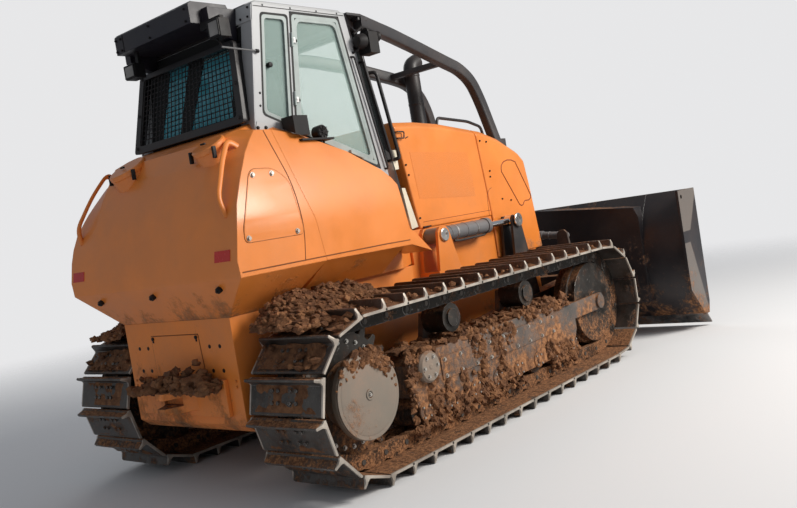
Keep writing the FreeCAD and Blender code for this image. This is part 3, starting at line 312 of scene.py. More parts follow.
def scratch_group():
    """Fine scuffs and runs for painted and bare metal."""
    group, g, given, out = new_group("scuffs", {"Size": 0.2, "Stretch": 6.0}, {"Mask": "Float"})
    turned = g.add("ShaderNodeMapping", {"Vector": g.place(), "Rotation": (0.4, 0.7, 0.2)})
    pull = g.add("ShaderNodeCombineXYZ", {0: 1.0, 1: given["Stretch"], 2: 1.0})
    g.put(turned.inputs["Scale"], pull.outputs[0])
    lines = g.noise(g.math("DIVIDE", 4.0, given["Size"]), 8.0, 0.75, turned.outputs[0])
    g.put(out["Mask"], g.span(lines, 0.56, 0.72))
    return group


def start_material(name):
    """Empty material with one shader; FINISH keeps it under its name."""
    made = bpy.data.materials.new(name)
    made.use_nodes = True
    made.node_tree.nodes.clear()
    g = Graph(made.node_tree)
    shader = g.add("ShaderNodeBsdfPrincipled")
    g.add("ShaderNodeOutputMaterial", {0: shader.outputs[0]})
    FINISH[name] = made
    return g, shader.inputs


def finish_surface(g, shader, base, rough, metal=0.0, bump=None, bump_depth=0.002, normal=None):
    """Wire the shader's colour, roughness and metal, and its relief over a rounded normal."""
    g.put(shader["Base Color"], base)
    g.put(shader["Roughness"], rough)
    g.put(shader["Metallic"], metal)
    if bump is not None:
        relief = g.add("ShaderNodeBump", {"Height": bump, "Distance": bump_depth, "Strength": 1.0})
        if normal is not None:
            g.put(relief.inputs["Normal"], normal)
        normal = relief.outputs[0]
    if normal is not None:
        g.put(shader["Normal"], normal)


def tint(base, factor, lift=0.0):
    return [min(1.0, c * factor + lift) for c in base]


def dust_colour():
    return tint(bpy.context.scene.dozer_paint.soil_dry, 0.6, 0.1)


def soil_film(g, soil, patch):
    """Soil on a finish; soil is (full below, clean above, amount, on ledges)."""
    labels = ("Full below", "Clean above", "Amount", "On ledges", "Patch size")
    return g.group("soil", dict(zip(labels, (*soil, patch))))


def painted(name, base, rough, soil=(0.2, 0.5, 0.0, 0.0), soil_patch=0.3, dust=0.25, wear=0.4,
            edge=0.006, coat=0.0, area=None, other=None, skirt=None):
    """Painted metal with dust, soil and worn edges.

    area masks a second colour, other; skirt is (height, colour) of what lies below a height.
    """
    g, shader = start_material(name)
    place = g.place()
    blotch = g.noise(2.2, 5.0, 0.6, place)
    fade = g.noise(0.7, 3.0, 0.5, place)
    tone = g.mix(g.span(blotch, 0.3, 0.75), tint(base, 0.9), tint(base, 1.06))
    tone = g.mix(g.times(g.span(fade, 0.4, 0.7), 0.2), tone, tint(base, 1.12, 0.015))
    if area is not None:
        tone = g.mix(area(g), tone, other)
    if skirt is not None:
        tone = g.mix(g.span(g.places()[0][2], skirt[0] + 0.01, skirt[0]), tone, skirt[1])
    worn = g.group("wear", {"Width": edge, "Amount": wear})
    scuffs = g.group("scuffs", {"Size": 0.5})
    veil = g.group("dust", {"Amount": dust})
    film = soil_film(g, soil, soil_patch)
    tone = g.mix(g.times(scuffs["Mask"], 0.10), tone, tint(base, 0.6))
    tone = g.mix(worn["Mask"], tone, (0.30, 0.29, 0.28))
    tone = g.mix(veil["Mask"], tone, dust_colour())
    tone = g.mix(film["Mask"], tone, film["Color"])
    level = g.mix_value(g.span(blotch, 0.3, 0.7), rough - 0.06, rough + 0.12)
    level = g.mix_value(veil["Mask"], level, 0.85)
    level = g.mix_value(film["Mask"], level, 0.95)
    metal = g.times(worn["Mask"], g.rest(film["Mask"]))
    peel = g.noise(260.0, 2.0, 0.5, place)
    finish_surface(g, shader, tone, level, metal, g.plus(film["Height"], g.times(peel, 0.012)), 0.006,
                   worn["Normal"])
    shader["Coat Weight"].default_value = coat
    shader["Coat Roughness"].default_value = 0.15


def steel(name, base, rough, soil, soil_patch=0.2, edge=0.006, rust=0.3):
    """Dark worn steel with bright edges, rust and soil."""
    g, shader = start_material(name)
    place = g.place()
    bright = (0.55, 0.53, 0.50)
    blotch = g.noise(5.0, 8.0, 0.68, place)
    rusty = g.noise(9.0, 9.0, 0.72, place)
    worn = g.group("wear", {"Width": edge, "Amount": 0.9})
    scuffs = g.group("scuffs", {"Size": 0.12})
    film = soil_film(g, soil, soil_patch)
    tone = g.mix(g.span(blotch, 0.3, 0.7), tint(base, 0.65), tint(base, 1.35))
    tone = g.mix(g.times(g.span(rusty, 0.5, 0.7), rust), tone, (0.16, 0.055, 0.02))
    tone = g.mix(g.times(scuffs["Mask"], 0.4), tone, bright)
    tone = g.mix(worn["Mask"], tone, bright)
    tone = g.mix(film["Mask"], tone, film["Color"])
    level = g.mix_value(g.span(blotch, 0.3, 0.7), rough - 0.1, rough + 0.15)
    level = g.mix_value(worn["Mask"], level, 0.28)
    level = g.mix_value(film["Mask"], level, 0.95)
    metal = g.times(0.85, g.rest(film["Mask"]))
    height = g.plus(film["Height"], g.times(blotch, 0.15))
    finish_surface(g, shader, tone, level, metal, height, 0.008, worn["Normal"])


def plain(name, base, rough, metal=0.0, grain=0.0, grain_size=0.01, spread=0.15, dust=0.0, edge=0.0,
          shine=0.5):
    """Moulded or machined surface with slight tone changes and fine grain."""
    g, shader = start_material(name)
    place = g.place()
    blotch = g.span(g.noise(6.0, 6.0, 0.6, place), 0.3, 0.7)
    tone = g.mix(blotch, tint(base, 1 - spread), tint(base, 1 + spread))
    level = g.mix_value(blotch, max(0.02, rough - 0.06), min(1.0, rough + 0.08))
    if dust:
        veil = g.group("dust", {"Amount": dust})
        tone = g.mix(veil["Mask"], tone, dust_colour())
        level = g.mix_value(veil["Mask"], level, 0.85)
    height = g.noise(1.0 / grain_size, 3.0, 0.6, place) if grain else None
    normal = g.group("wear", {"Width": edge})["Normal"] if edge else None
    finish_surface(g, shader, tone, level, metal, height, grain, normal)
    shader["Specular IOR Level"].default_value = shine


def glazing_material(name, tone, alpha, rough=0.03, dark_area=None):
    """Tinted glass with a little dust; dark_area masks panes that are nearly black."""
    g, shader = start_material(name)
    veil = g.group("dust", {"Amount": 0.10, "Patch size": 0.35})["Mask"]
    smear = g.noise(7.0, 6.0, 0.7, g.place())
    base = g.mix(veil, tone, (0.55, 0.5, 0.42))
    cover = g.math("ADD", alpha, g.times(veil, 0.5), clamp=True)
    if dark_area is not None:
        dark = dark_area(g)
        base = g.mix(dark, base, (0.012, 0.016, 0.016))
        cover = g.math("MAXIMUM", cover, g.times(dark, 0.93))
    finish_surface(g, shader, base, g.mix_value(g.span(smear, 0.4, 0.7), rough, rough + 0.06))
    g.put(shader["Alpha"], cover)
    shader["IOR"].default_value = 1.45
    shader["Specular IOR Level"].default_value = 0.8


def soil_material(name, dry):
    """Clods of soil; dry is the share of the lighter colour."""
    g, shader = start_material(name)
    paint = bpy.context.scene.dozer_paint
    place = g.place()
    clod = g.noise(14.0, 8.0, 0.7, place)
    crumb = g.noise(90.0, 6.0, 0.75, place)
    light = [p * (1 - dry) + q * dry for p, q in zip(paint.soil_wet, paint.soil_dry)]
    tone = g.mix(g.span(clod, 0.32, 0.7), paint.soil_wet, light)
    tone = g.mix(g.times(g.span(crumb, 0.55, 0.8), 0.5), tone, tint(paint.soil_dry, 1.5))
    finish_surface(g, shader, tone, 0.94, 0.0, g.plus(clod, g.times(crumb, 0.45)), 0.02)


def perforated(name, base):
    """Sheet with rows of small round holes; the holes are painted darker as painted shade of the space behind
    the sheet.
    """
    g, shader = start_material(name)
    spot, _ = g.places()
    holes_per_metre = 160.0
    row = g.times(spot[2], holes_per_metre)
    stagger = g.times(g.math("MODULO", g.math("FLOOR", row), 2.0), 0.5)
    column = g.plus(g.times(spot[0], holes_per_metre), stagger)
    across = g.minus(g.math("FRACT", column), 0.5)
    up = g.minus(g.math("FRACT", row), 0.5)
    far = g.math("SQRT", g.plus(g.times(across, across), g.times(up, up)))
    hole = g.span(far, 0.27, 0.22)
    veil = g.group("dust", {"Amount": 0.2})
    tone = g.mix(veil["Mask"], base, (0.45, 0.3, 0.2))
    # painted shade: each hole is painted darker for the dim space behind the sheet
    tone = g.mix(hole, tone, tint(base, 0.70))
    finish_surface(g, shader, tone, 0.5, 0.0, g.rest(hole), 0.0008)


def cab_black_area(g):
    """Front corners, the middle of the rear wall and the part below the doors."""
    spot, facing = g.places()
    turned = g.rest(g.span(g.math("ABSOLUTE", facing[1]), 0.90, 0.97))
    ahead = g.span(spot[0], AXLE_X + 0.84, AXLE_X + 0.86)
    across = g.math("ABSOLUTE", spot[1])
    strip = g.times(g.span(across, 0.484, 0.487), g.span(across, 0.625, 0.622))
    behind = g.times(g.span(facing[0], -0.3, -0.6), g.rest(strip))
    below = g.span(spot[2], 1.72, 1.70)
    return g.math("MAXIMUM", g.math("MAXIMUM", g.times(turned, ahead), behind), below)


def corner_area(g):
    """Panes in the cab's slanting front corners."""
    spot, facing = g.places()
    aslant = g.span(g.math("ABSOLUTE", facing[1]), 0.3, 0.4)
    turned = g.times(aslant, g.span(facing[0], 0.3, 0.4))
    aback = g.times(aslant, g.span(facing[0], -0.3, -0.4))
    return g.times(g.math("MAXIMUM", turned, aback), g.span(spot[0], AXLE_X + 0.85, AXLE_X + 0.87))


def forward_area(g):
    """Everything ahead of the cab's middle."""
    spot, _ = g.places()
    return g.span(spot[0], AXLE_X + 0.9, AXLE_X + 0.95)


def dusty_sunlit_end_plates(g):
    """Outer faces of the blade's end plates, up to their slanting front edge; their lighter grey is dust and
    painted sunlight, with a band across them left black as a painted shadow.
    """
    spot, facing = g.places()
    outer = g.span(g.math("ABSOLUTE", spot[1]), 1.5235, 1.5245)
    above = g.math("MAXIMUM", g.minus(spot[2], 0.92), 0.0)
    under = g.math("MAXIMUM", g.minus(0.86, spot[2]), 0.0)
    reach = g.plus(g.times(above, 0.7), g.times(under, 0.35))
    ahead = g.span(g.minus(spot[0], reach), AXLE_X + 4.30, AXLE_X + 4.28)
    # painted shadow: a band across the plates is left out of the lighter grey, so it stays black
    painted_shadow_band = g.times(g.span(spot[2], 0.86, 0.87), g.span(spot[2], 0.98, 0.97))
    side = g.times(outer, g.span(g.math("ABSOLUTE", facing[1]), 0.8, 0.9))
    return g.times(side, g.times(ahead, g.rest(painted_shadow_band)))


def make_finishes():
    """Make the shader groups and every finish of the machine."""
    paint = bpy.context.scene.dozer_paint
    GROUPS.update(soil=soil_group(), dust=dust_group(), wear=wear_group(), scuffs=scratch_group())
    body, cab, guard = list(paint.body), list(paint.cab), list(paint.guard)
    painted("orange paint", body, 0.34, soil=(1.10, 1.42, 0.55, 0.0), dust=0.14, wear=0.12, edge=0.010,
            coat=0.25)
    painted("orange chassis", body, 0.40, soil=(0.35, 1.2, 0.62, 0.35), wear=0.3)
    painted("cab grey paint", cab, 0.36, dust=0.12, wear=0.1, coat=0.15)
    painted("cab shell paint", cab, 0.36, dust=0.12, wear=0.1, coat=0.15, area=cab_black_area,
            other=guard, skirt=(1.50, body))
    painted("rail paint", body, 0.36, soil=(0.9, 1.35, 0.3, 0.1), dust=0.14, wear=0.3, area=forward_area,
            other=guard)
    painted("guard black paint", guard, 0.42, dust=0.08, wear=0.25)
    painted("sweep paint", (0.030, 0.030, 0.033), 0.40, dust=0.1, wear=0.3)
    # blade paint: the end plates' outer faces take a lighter grey, which is dust and painted sunlight
    painted("blade paint", (0.009, 0.008, 0.011), 0.42, soil=(0.1, 1.2, 0.6, 0.55), dust=0.08, wear=0.5,
            edge=0.008, area=dusty_sunlit_end_plates, other=(0.125, 0.108, 0.096))
    painted("frame paint", (0.02, 0.02, 0.022), 0.5, soil=(0.2, 1.3, 0.7, 0.5), dust=0.4, wear=0.6,
            edge=0.008)
    painted("ear paint", (0.09, 0.095, 0.1), 0.45, soil=(0.4, 1.4, 0.55, 0.5), dust=0.3)
    painted("track frame paint", (0.060, 0.056, 0.052), 0.55, soil=(0.2, 1.15, 0.85, 0.8),
            soil_patch=0.4, dust=0.6, wear=0.5)
    painted("hub paint", (0.20, 0.172, 0.138), 0.6, soil=(0.1, 1.1, 0.50, 0.5), dust=0.6, wear=0.5,
            edge=0.008)
    painted("cylinder paint", (0.145, 0.148, 0.155), 0.3, soil=(0.6, 1.4, 0.25, 0.3), dust=0.3,
            wear=0.3, edge=0.004)
    painted("cream strip", (0.72, 0.66, 0.52), 0.5, soil=(0.4, 1.4, 0.1, 0.0), dust=0.1, wear=0.1)
    steel("track steel", (0.10, 0.092, 0.085), 0.42, (0.0, 1.6, 0.42, 0.5), 0.16, 0.009)
    # link steel: dark worn steel, made darker still as painted shade under the shoes
    steel("link steel with painted shade", (0.030, 0.027, 0.024), 0.6, (0.0, 1.5, 0.8, 0.5), 0.14)
    # wheel steel: dark soiled steel, made darker still as painted shade inside the tracks
    steel("wheel steel with painted shade", (0.055, 0.050, 0.045), 0.5, (0.1, 1.3, 0.72, 0.5))
    steel("edge steel", (0.24, 0.235, 0.23), 0.35, (0.0, 0.5, 0.55, 0.4), rust=0.5)
    plain("worn shoe end", (0.40, 0.36, 0.31), 0.42, 0.35, grain=0.001, spread=0.35, dust=0.3)
    plain("pin head", (0.06, 0.05, 0.042), 0.6, 0.3, grain=0.001, spread=0.4)
    plain("red seam", (0.22, 0.045, 0.010), 0.6)
    plain("orange seam", tint(body, 0.25), 0.6)
    plain("roof box paint", (0.009, 0.008, 0.015), 0.42, grain=0.0003, dust=0.05, edge=0.006)
    plain("pane border", (0.30, 0.35, 0.34), 0.4, grain=0.0002, dust=0.1)
    plain("chrome rod", (0.78, 0.79, 0.80), 0.12, 1.0, spread=0.04, dust=0.12)
    plain("bolt zinc", (0.42, 0.41, 0.38), 0.4, 0.9, dust=0.4)
    plain("pin steel", (0.55, 0.54, 0.52), 0.3, 0.95, dust=0.25)
    plain("burnt pipe", (0.14, 0.10, 0.08), 0.55, 0.8, grain=0.001, spread=0.4)
    # black rubber of the seals; it also makes the painted-shade sheet behind the rear panes
    plain("rubber seal", (0.012, 0.012, 0.012), 0.7, grain=0.0004)
    plain("hose rubber", (0.02, 0.02, 0.02), 0.6, grain=0.0006, dust=0.35)
    plain("dark plastic", (0.007, 0.007, 0.008), 0.5, grain=0.0005, grain_size=0.002, dust=0.05,
          edge=0.004, shine=0.25)
    plain("seat cloth", (0.03, 0.032, 0.036), 0.92, grain=0.0012, grain_size=0.004)
    plain("trim grey", (0.12, 0.122, 0.125), 0.6, grain=0.0005, grain_size=0.003)
    plain("lamp lens", (0.22, 0.21, 0.20), 0.12, spread=0.2, grain=0.0008, grain_size=0.006)
    plain("red reflector", (0.55, 0.02, 0.015), 0.2, spread=0.1, dust=0.15)
    plain("white clip", (0.75, 0.75, 0.74), 0.35, dust=0.1)
    # near-black for seam gaps, and as painted shade inside the exhaust outlet
    plain("black seam and outlet shade", (0.004, 0.004, 0.004), 0.9)
    perforated("perforated sheet", [c * f for c, f in zip(body, (0.99, 0.965, 0.93))])
    glazing_material("cab glass", paint.glass, 0.24, dark_area=corner_area)
    # rear glass: teal tint, brightened as a painted sky reflection
    glazing_material("rear glass", (0.08, 0.42, 0.52), 0.86, 0.05)
    soil_material("packed soil", 0.60)
    soil_material("dry soil", 0.95)


BALLS = {}


def ball(detail):
    """Directions and faces of an even ball of triangles, made once for each detail."""
    if detail not in BALLS:
        bm = bmesh.new()
        bmesh.ops.create_icosphere(bm, subdivisions=detail, radius=1.0)
        bm.verts.index_update()
        BALLS[detail] = ([v.co.normalized() for v in bm.verts],
                         [[v.index for v in f.verts] for f in bm.faces])
        bm.free()
    return BALLS[detail]


def circle(centre, side, other, radius, count):
    """Points round a centre, in the plane of two directions."""
    turns = (2 * math.pi * i / count for i in range(count))
    return [centre + (side * math.cos(t) + other * math.sin(t)) * radius for t in turns]


def around(centre, radius, count, out=0.0, start=0.0):
    """Points round an axle of the machine; out is how far they lie off the centre across it."""
    for k in range(count):
        t = 2 * math.pi * (k + start) / count
        yield centre + Vector((radius * math.cos(t), out, radius * math.sin(t)))


class Build:
    """Collects solids of one piece in a bmesh; each part can have its own finish index."""

    def __init__(self):
        self.bm = bmesh.new()

    def paint(self, faces, finish):
        for face in faces:
            face.material_index = finish
        return faces

    def loft(self, rings, finish=0, closed=True, caps=True):
        """Skin between rows of points, as closed rings with caps or as an open sheet."""
        rows = [[self.bm.verts.new(p) for p in ring] for ring in rings]
        faces = []
        count = len(rows[0])
        for low, high in zip(rows, rows[1:]):
            for i in range(count if closed else count - 1):
                j = (i + 1) % count
                faces.append(self.bm.faces.new((low[i], low[j], high[j], high[i])))
        if caps and closed:
            faces.append(self.bm.faces.new(rows[0][::-1]))
            faces.append(self.bm.faces.new(rows[-1]))
        return self.paint(faces, finish)

    def box(self, low, high, finish=0, bevel=0.0):
        x0, y0, z0 = low
        x1, y1, z1 = high
        corners = [Vector(p) for p in ((x0, y0, z0), (x1, y0, z0), (x1, y1, z0), (x0, y1, z0))]
        faces = self.loft([corners, [p + Vector((0, 0, z1 - z0)) for p in corners]], finish)
        if bevel:
            edges = list(dict.fromkeys(e for f in faces for e in f.edges))
            made = bmesh.ops.bevel(self.bm, geom=edges, offset=bevel, segments=2, affect="EDGES", profile=0.7)
            self.paint(made["faces"], finish)

    def pad(self, centre, half, finish=0, bevel=0.0):
        """Box given by its centre and half sizes."""
        self.box(centre - Vector(half), centre + Vector(half), finish, bevel)

    def cylinder(self, a, b, r, sides=24, finish=0, bevel=0.0, r2=None):
        a, b = Vector(a), Vector(b)
        axis = (b - a).normalized()
        side = axis.orthogonal().normalized()
        r2 = r if r2 is None else r2
        stops = [(a, r), (b, r2)]
        if bevel:
            stops = [(a, r - bevel), (a + axis * bevel * 0.3, r - bevel * 0.3), (a + axis * bevel, r),
                     (b - axis * bevel, r2), (b - axis * bevel * 0.3, r2 - bevel * 0.3), (b, r2 - bevel)]
        self.loft([circle(centre, side, axis.cross(side), radius, sides) for centre, radius in stops], finish)

    def lathe(self, origin, axis, profile, sides=48, finish=0, caps=True):
        """Turn (distance along the axis, radius) points round the axis."""
        origin, axis = Vector(origin), Vector(axis).normalized()
        side = axis.orthogonal().normalized()
        rings = [circle(origin + axis * d, side, axis.cross(side), max(r, 0.0005), sides) for d, r in profile]
        self.loft(rings, finish, caps=caps)

    def band(self, origin, axis, start, wide, low, high, chamfer=0.002, sides=40, finish=0):
        """Collar round a cylinder, from radius low to high."""
        self.lathe(origin, axis, [(start, low), (start + chamfer, high), (start + wide - chamfer, high),
                                  (start + wide, low)], sides, finish)

    def bolt(self, place, axis, size, finish=0, washer=True):
        """Hexagon head on a washer; size is the width across the corners."""
        place, axis = Vector(place), Vector(axis).normalized()
        if washer:
            self.cylinder(place, place + axis * size * 0.12, size * 0.68, 16, finish)
        self.cylinder(place + axis * size * 0.1, place + axis * size * 0.55, size * 0.5, 6, finish,
                      r2=size * 0.46)

    def prism(self, outline, push, finish=0):
        outline = [Vector(p) for p in outline]
        self.loft([outline, [p + Vector(push) for p in outline]], finish)

    def tube(self, points, r, corner=0.0, sides=12, finish=0):
        """Round bar through the points with its corners rounded."""
        path = round_path([Vector(p) for p in points], corner)
        rings = []
        side = (path[1] - path[0]).normalized().orthogonal().normalized()
        for i, p in enumerate(path):
            before = (p - path[i - 1]).normalized() if i else (path[1] - p).normalized()
            after = (path[i + 1] - p).normalized() if i + 1 < len(path) else before
            tangent = (before + after).normalized()
            side = (side - tangent * side.dot(tangent)).normalized()
            rings.append(circle(p, side, tangent.cross(side), r, sides))
        self.loft(rings, finish)

    def ring(self, outer, inner, push, finish=0):
        """Frame between two outlines of equal count, pushed into a solid."""
        push = Vector(push)
        count = len(outer)
        loops = [[self.bm.verts.new(p) for p in loop] for loop in (
            outer, [p + push for p in outer], [p + push for p in inner], inner)]
        faces = []
        for a, b in ((0, 1), (1, 2), (2, 3), (3, 0)):
            for i in range(count):
                j = (i + 1) % count
                faces.append(self.bm.faces.new((loops[a][i], loops[a][j], loops[b][j], loops[b][i])))
        self.paint(faces, finish)

    def clod(self, centre, size, seed, finish=None, detail=1, flatten=0.75):
        """Uneven lump of soil; without a finish, its seed picks one of the two."""
        if finish is None:
            finish = 1 if math.sin(seed * 37.0) > 0.25 else 0
        directions, faces = ball(detail)
        shift = Vector((seed * 3.17, seed * 1.71, seed * 2.3))
        stretch = (1.0 + 0.5 * noise.noise(shift), 1.0 + 0.5 * noise.noise(shift * 1.3), flatten)
        verts = []
        for way in directions:
            bulge = 0.95 + 0.65 * noise.noise(way * 1.6 + shift) + 0.55 * noise.cell(way * 2.3 + shift) * 0.5
            spot = Vector([d * s for d, s in zip(way * bulge * size, Vector(stretch))])
            verts.append(self.bm.verts.new(centre + spot))
        self.paint([self.bm.faces.new([verts[i] for i in corners]) for corners in faces], finish)

    def flip(self):
        """Mirror everything so far to the machine's other side, as new geometry."""
        whole = self.bm.verts[:] + self.bm.edges[:] + self.bm.faces[:]
        made = bmesh.ops.duplicate(self.bm, geom=whole)["geom"]
        for v in made:
            if isinstance(v, bmesh.types.BMVert):
                v.co.y = -v.co.y
        bmesh.ops.reverse_faces(self.bm, faces=[f for f in made if isinstance(f, bmesh.types.BMFace)])

    def done(self, name, finish, body="chassis", smooth=30.0):
        """Link the solids as one named piece that rides on a body, with one finish or a list."""
        bmesh.ops.recalc_face_normals(self.bm, faces=self.bm.faces[:])
        mesh = bpy.data.meshes.new(name)
        self.bm.to_mesh(mesh)
        self.bm.free()
        piece = link(name, mesh, finish)
        soften = piece.modifiers.new("smooth by angle", "EDGE_SPLIT")
        soften.split_angle = math.radians(smooth)
        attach(piece, body)
        return piece


def link(name, mesh, finish):
    """Object of a smooth mesh with one finish or a list of them."""
    piece = bpy.data.objects.new(name, mesh)
    bpy.context.scene.collection.objects.link(piece)
    for label in [finish] if isinstance(finish, str) else finish:
        mesh.materials.append(FINISH[label])
    for face in mesh.polygons:
        face.use_smooth = True
    return piece


def rounded(a, p, b, radius, share, steps):
    """Curve that takes the place of the corner p between a and b."""
    to_a, to_b = a - p, b - p
    cut = min(radius, to_a.length * share, to_b.length * share)
    start, end = p + to_a.normalized() * cut, p + to_b.normalized() * cut
    parts = (i / steps for i in range(steps + 1))
    return [start * (1 - t) ** 2 + p * (2 * t * (1 - t)) + end * t ** 2 for t in parts]


def round_path(points, radius, steps=5):
    """Open path with rounded corners."""
    if radius <= 0 or len(points) < 3:
        return points
    out = [points[0]]
    for a, p, b in zip(points, points[1:], points[2:]):
        out += rounded(a, p, b, radius, 0.48, steps)
    return out + [points[-1]]


def round_outline(points, radius):
    """Closed outline with rounded corners."""
    out = []
    for a, p, b in zip(points[-1:] + points[:-1], points, points[1:] + points[:1]):
        out += rounded(a, p, b, radius, 0.45, 5)
    return out


def shrink(points, normal, distance):
    """Inset a closed outline within its plane."""
    centre = sum(points, Vector()) / len(points)
    normal = Vector(normal)
    out = []
    for a, p, b in zip(points[-1:] + points[:-1], points, points[1:] + points[:1]):
        inward = []
        for edge in (p - a, b - p):
            n = normal.cross(edge).normalized()
            inward.append(-n if n.dot(centre - p) < 0 else n)
        out.append(p + (inward[0] + inward[1]) * (distance / max(0.2, 1.0 + inward[0].dot(inward[1]))))
    return out


def lean_in(bm):
    """Lean the upper sides of the tank and fenders inward, each point along its line of sight."""
    foot, inner, push, depth = 1.58, 0.55, 0.155, 3.63
    cuts = [((0, side * y, 0), (0, 1, 0)) for side in (-1, 1) for y in (inner, 0.64, 0.72, 0.80, 0.86)]
    cuts += [((0, 0, z), (0, 0, 1)) for z in (foot, 1.67, 1.76, 1.85, 1.93, 2.01, 2.09)]
    for spot, facing in cuts:
        bmesh.ops.bisect_plane(bm, geom=bm.verts[:] + bm.edges[:] + bm.faces[:], plane_co=spot,
                               plane_no=facing, dist=0.0001)
    for v in bm.verts:
        side = 1 if v.co.y > 0 else -1
        reach = min(1.0, max(0.0, (abs(v.co.y) - inner) / 0.35))
        rise = max(0.0, (v.co.z - foot) / 0.49)
        x, y, z = CAMERA_PLACE
        v.co += (v.co - at(x, -side * y, z)) * (push * rise ** 1.7 * reach / depth)


def soft_copy(node, finish, width, segments=3, reshape=None):
    """Rounded-edge copy of a CAD solid that stands for it."""
    source = frame["nodes"][node]
    name = node + "_finished"
    bm = bmesh.new()
    bm.from_mesh(source.data)
    bmesh.ops.remove_doubles(bm, verts=bm.verts[:], dist=0.0002)
    bmesh.ops.dissolve_limit(bm, angle_limit=math.radians(2.0), verts=bm.verts[:], edges=bm.edges[:])
    bmesh.ops.recalc_face_normals(bm, faces=bm.faces[:])
    if reshape is not None:
        reshape(bm)
    mesh = bpy.data.meshes.new(name)
    bm.to_mesh(mesh)
    bm.free()
    piece = link(name, mesh, finish)
    rounding = piece.modifiers.new("rounded edges", "BEVEL")
    rounding.width = width
    rounding.segments = segments
    rounding.limit_method = "ANGLE"
    rounding.angle_limit = math.radians(24.0)
    piece.modifiers.new("even shading", "WEIGHTED_NORMAL")
    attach(piece, body_of(source)[0])
    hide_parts(node)
    return piece


def link_pitch():
    return 2.0 * SPROCKET_R * math.sin(2.0 * math.pi / SPROCKET_TEETH)


def belt_point(s):
    """Point (x, z) of the track's pin line at length s, from the rearmost point over the top."""
    slope = 2.0 * math.asin((SPROCKET_R - IDLER_R) / math.hypot(WHEELBASE, SPROCKET_R - IDLER_R))
    sprocket_z, idler_z = GROUSER + SPROCKET_R, GROUSER + IDLER_R
    over = SPROCKET_R * (math.pi / 2 - slope)
    if s < over:
        t = math.pi - s / SPROCKET_R
        return SPROCKET_R * math.cos(t), sprocket_z + SPROCKET_R * math.sin(t)
    s -= over
    if s < WHEELBASE:
        return (SPROCKET_R * math.sin(slope) + s * math.cos(slope),
                sprocket_z + SPROCKET_R * math.cos(slope) - s * math.sin(slope))
    s -= WHEELBASE
    round_idler = IDLER_R * (math.pi - slope)
    if s < round_idler:
        t = math.pi / 2 - slope - s / IDLER_R
        return WHEELBASE + IDLER_R * math.cos(t), idler_z + IDLER_R * math.sin(t)
    s -= round_idler
    if s < WHEELBASE:
        return WHEELBASE - s, GROUSER
    s -= WHEELBASE
    t = -math.pi / 2 - s / SPROCKET_R
    return SPROCKET_R * math.cos(t), sprocket_z + SPROCKET_R * math.sin(t)


def track_joints():
    """Places (x, z) of the track's pins, one pitch apart along the pin line."""
    pitch = link_pitch()
    s = 0.0
    joints = [belt_point(0.0)]
    for _ in range(bpy.context.scene.dozer_track.links - 1):
        x, z = joints[-1]
        low, high = s + 0.98 * pitch, s + 1.1 * pitch
        for _ in range(30):
            mid = 0.5 * (low + high)
            p = belt_point(mid)
            if math.hypot(p[0] - x, p[1] - z) < pitch:
                low = mid
            else:
                high = mid
        s = 0.5 * (low + high)
        joints.append(belt_point(s))
    return joints


class DOZER_OT_finishes(bpy.types.Operator):
    """Make the shader groups and all finishes, and give every carried-over node its finish"""
    bl_idname = "dozer.finishes"
    bl_label = "Finishes"

    def execute(self, context):
        make_finishes()
        finish_of = {
            "main_frame": "orange chassis", "front_frame": "orange chassis", "drawbar": "orange chassis",
            "fuel_tank": "orange paint", "fenders": "orange paint", "hood": "orange paint",
            "radiator_guard": "orange paint", "grab_rails": "rail paint", "filler_caps": "orange paint",
            "cab_frame": "cab shell paint",
            "cab_door_left": "cab grey paint", "cab_door_right": "cab grey paint",
            "windows": "cab glass", "door_glass_left": "cab glass", "door_glass_right": "cab glass",
            "seat": "seat cloth", "control_console": "dark plastic", "engine_block": "frame paint",
            "radiator": "frame paint", "exhaust_stack": "guard black paint", "grille": "guard black paint",
            "c_frame": "frame paint", "blade_yoke": "frame paint", "blade": "blade paint",
            "cutting_edge": "edge steel",
        }
        for name, node in frame["nodes"].items():
            label = finish_of.get(name)
            if label is None:
                if name.startswith(("track_frame", "idler_yoke", "pivot")):
                    label = "track frame paint"
                elif name.startswith("final_drive"):
                    label = "hub paint"
                elif name.startswith(("track_", "sprocket", "idler", "rollers")):
                    label = "wheel steel with painted shade"
                elif "_rod" in name:
                    label = "chrome rod"
                elif "barrel" in name:
                    label = "cylinder paint"
                else:
                    label = "guard black paint"
            node.data.materials.clear()
            node.data.materials.append(FINISH[label])
        return {"FINISHED"}


